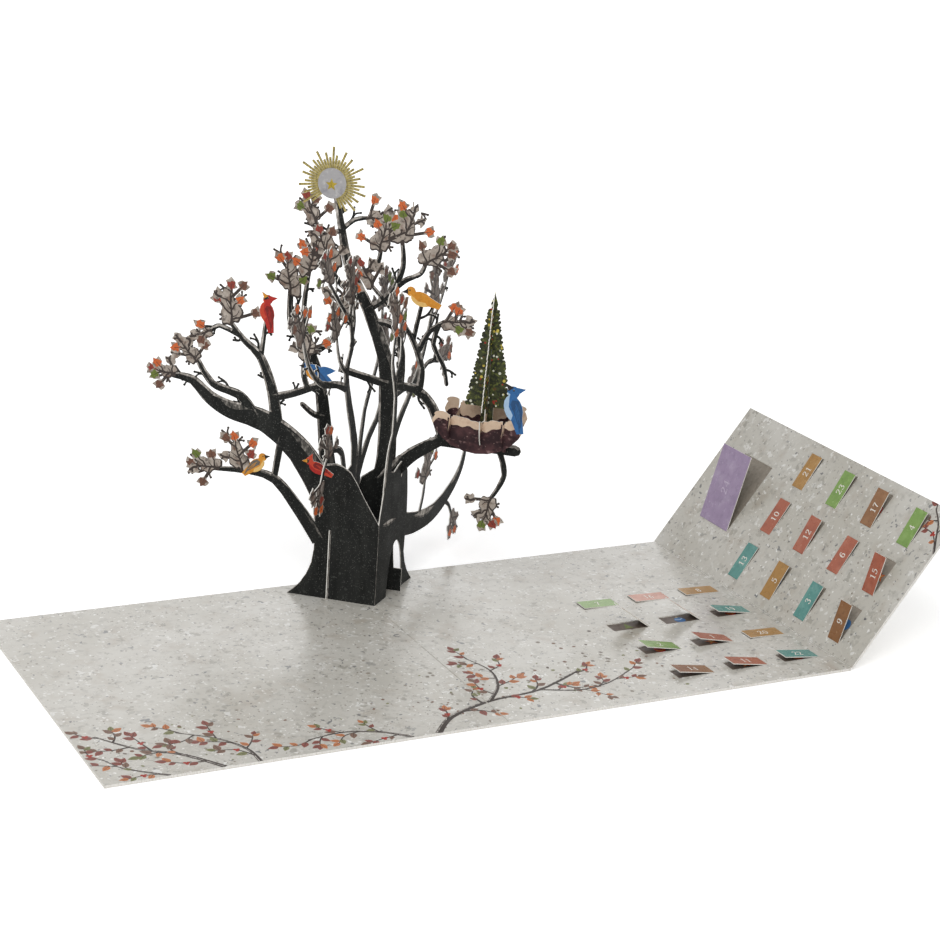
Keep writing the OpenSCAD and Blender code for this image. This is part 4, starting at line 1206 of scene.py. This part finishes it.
def sprig(points, width, twigs, size, seed):
    """A printed sprig: an arching stem with a pale edge on its upper left, partly print and partly painted
    highlight, and side twigs with oval leaves and berries.
    """
    rand = random.Random(seed)
    line = curve(points, 6)
    stems = [("twig", band(line, width, 0.35 * width))]
    lit = [(x - 0.2 * width, y + 0.2 * width) for x, y in line]
    stems.append(("pale", band(lit, 0.22 * width, 0.1 * width)))
    leaves = []
    for k in range(twigs):
        share = 0.22 + 0.78 * k / max(twigs - 1, 1)
        i = min(int(share * (len(line) - 1)), len(line) - 2)
        a, b = Vector(line[i]), Vector(line[i + 1])
        heading = math.degrees(math.atan2(b.y - a.y, b.x - a.x))
        turn = heading + (-1 if k % 2 else 1) * rand.uniform(30, 58) * (0.2 if k == twigs - 1 else 1)
        reach = size * rand.uniform(2.0, 3.4)
        bend = rand.uniform(-0.25, 0.25) * reach
        side = moved([[(0, 0), (0.5 * reach, bend), (reach, 0.4 * bend)]], a.x, a.y, turn)[0]
        side = curve(side, 4)
        stems.append(("twig", band(side, 0.45 * width, 0.7)))
        for m, share in enumerate((0.35, 0.55, 0.75, 0.9, 1.0)):
            at = side[min(int(share * (len(side) - 1)), len(side) - 1)]
            angle = turn + (0 if m == 4 else (-1 if m % 2 else 1) * rand.uniform(35, 65))
            grown = size * rand.uniform(0.75, 1.15)
            ink = rand.choice(FALLEN)
            if m == 1 and k % 3 == 0:
                places = [(at[0] + 1.4 * math.cos(v), at[1] + 1.4 * math.sin(v)) for v in (0.4, 2.5, 4.6)]
                leaves.append(("dot_red", [oval(*place, 1.3, 1.3, 10) for place in places]))
                continue
            leaves.append((ink, moved([leaf(grown, 0.6 * grown)], *at, angle)))
            rib = [(-0.5, -0.25), (0.75 * grown, -0.1), (0.75 * grown, 0.1), (-0.5, 0.25)]
            leaves.append(("twig", moved([rib], *at, angle)))
    return stems + leaves


def spatter(middle, spread, count, seed):
    """Loose dots of paint round a place."""
    rand = random.Random(seed)
    dots = []
    for _ in range(count):
        x, y = (rand.gauss(m, w) for m, w in zip(middle, spread))
        r = rand.uniform(0.5, 1.9)
        ink = rand.choice(["behind", "behind", "fallen_brown", "shade", "fallen_olive"])
        dots.append((ink, [oval(x, y, r, r * rand.uniform(0.6, 1.0), 9, rand.uniform(0, 180))]))
    return dots


SPRIGS = [
    ([(-222, -150), (-244, -122), (-270, -104), (-292, -76)], 4.2, 7, 8.5, 1),
    ([(-196, -150), (-198, -128), (-212, -106), (-236, -88)], 3.4, 6, 8.5, 2),
    ([(-262, -150), (-276, -140), (-290, -128), (-298, -112)], 2.6, 4, 8, 3),
    ([(-58, -150), (-36, -128), (4, -112), (50, -106), (96, -84)], 5.2, 7, 8.5, 4),
    ([(4, -112), (22, -90), (30, -62), (22, -34)], 3.4, 6, 8.5, 5),
    ([(-78, -150), (-98, -134), (-124, -126), (-152, -130)], 3.2, 6, 8, 6),
    ([(50, -106), (78, -116), (106, -112), (132, -98)], 2.6, 5, 8, 7),
]
shapes = spatter((-235, -110), (34, 22), 70, 31) + spatter((10, -95), (70, 26), 110, 32)
shapes += spatter((140, -70), (30, 30), 40, 33)
for points, width, twigs, size, seed in SPRIGS:
    shapes += sprig(points, width, twigs, size, seed)
lay("base_sprigs", "base_sheet", CARD_FACE, shapes, "card")
shapes = sprig([(112, -150), (124, -142), (136, -134), (146, -122)], 2.8, 4, 7.5, 8)
lay("flap_sprig", "flap_sheet", FLAP_FACE, shapes, "flap")


# Floor, light and camera

floor = bpy.data.meshes.new("floor")
floor.from_pydata([(-14, -14, 0), (14, -14, 0), (14, 14, 0), (-14, 14, 0)], [], [(0, 1, 2, 3)])
floor_thing = bpy.data.objects.new("floor", floor)
floor_thing.location.z = -0.0002
bpy.context.scene.collection.objects.link(floor_thing)
s = Shader("floor")
s.tree.nodes.remove(s.principled)
reach = s.add("ShaderNodeVectorMath", {"operation": "LENGTH"})
s.put(reach.inputs[0], s.place)
seen = s.add("ShaderNodeLightPath").outputs["Is Camera Ray"]
diffuse = s.add("ShaderNodeBsdfDiffuse", Color=s.mix(seen, (0.9, 0.9, 0.9, 1.0), (1.35, 1.35, 1.35, 1.0)))
lift = s.spread(reach.outputs["Value"], 0.6, 2.6, 0.14, 0.6)
glow = s.add("ShaderNodeEmission", Color=(1.0, 1.0, 1.0, 1.0), Strength=s.math("MULTIPLY", seen, lift))
lit_floor = s.add("ShaderNodeAddShader")
s.put(lit_floor.inputs[0], diffuse.outputs[0])
s.put(lit_floor.inputs[1], glow.outputs[0])
s.put(s.tree.nodes["Material Output"].inputs["Surface"], lit_floor.outputs[0])
floor.materials.append(s.material)

world = bpy.data.worlds.new("studio")
bpy.context.scene.world = world
world.use_nodes = True
background = world.node_tree.nodes["Background"]
background.inputs["Color"].default_value = (1.0, 1.0, 1.0, 1.0)
path = world.node_tree.nodes.new("ShaderNodeLightPath")
seen = world.node_tree.nodes.new("ShaderNodeMath")
seen.operation = "MAXIMUM"
level = world.node_tree.nodes.new("ShaderNodeMapRange")
level.inputs["To Min"].default_value = 0.5
level.inputs["To Max"].default_value = 1.0
world.node_tree.links.new(path.outputs["Is Camera Ray"], seen.inputs[0])
world.node_tree.links.new(path.outputs["Is Glossy Ray"], seen.inputs[1])
world.node_tree.links.new(seen.outputs[0], level.inputs["Value"])
world.node_tree.links.new(level.outputs[0], background.inputs["Strength"])


def area_light(name, place, target, size, power):
    data = bpy.data.lights.new(name, "AREA")
    data.shape = "RECTANGLE"
    data.size = size[0]
    data.size_y = size[1]
    data.energy = power
    thing = bpy.data.objects.new(name, data)
    thing.location = place
    thing.rotation_euler = (Vector(target) - Vector(place)).to_track_quat("-Z", "Y").to_euler()
    thing.visible_camera = False
    bpy.context.scene.collection.objects.link(thing)


area_light("key", (-1.6, -1.4, 2.4), (0, 0, 0.1), (2.2, 1.6), 42)
area_light("fill", (1.6, -1.8, 1.2), (0.1, 0, 0.1), (1.6, 1.2), 7)
area_light("rear", (0.9, 2.4, 1.3), (0, 0, 0.05), (2.4, 1.0), 7)

CAMERA_AT = (-0.7528, -1.4530, 0.6929)
CAMERA_TURN = (-28.423, 18.34, 4.024)
CAMERA_LENS = 85.92
azimuth, elevation, roll = (math.radians(v) for v in CAMERA_TURN)
level_out = math.cos(elevation)
back = Vector((math.sin(azimuth) * level_out, -math.cos(azimuth) * level_out, math.sin(elevation)))
right = Vector((math.cos(azimuth), math.sin(azimuth), 0))
up = back.cross(right)
right, up = (math.cos(roll) * right + math.sin(roll) * up, -math.sin(roll) * right + math.cos(roll) * up)
camera = bpy.data.cameras.new("camera")
camera.lens = CAMERA_LENS
camera.sensor_width = 36
camera_thing = bpy.data.objects.new("camera", camera)
turn = Matrix((right, up, back)).transposed().to_4x4()
camera_thing.matrix_world = Matrix.Translation(CAMERA_AT) @ turn
bpy.context.scene.collection.objects.link(camera_thing)
bpy.context.scene.camera = camera_thing
bpy.context.scene.view_settings.view_transform = "Standard"
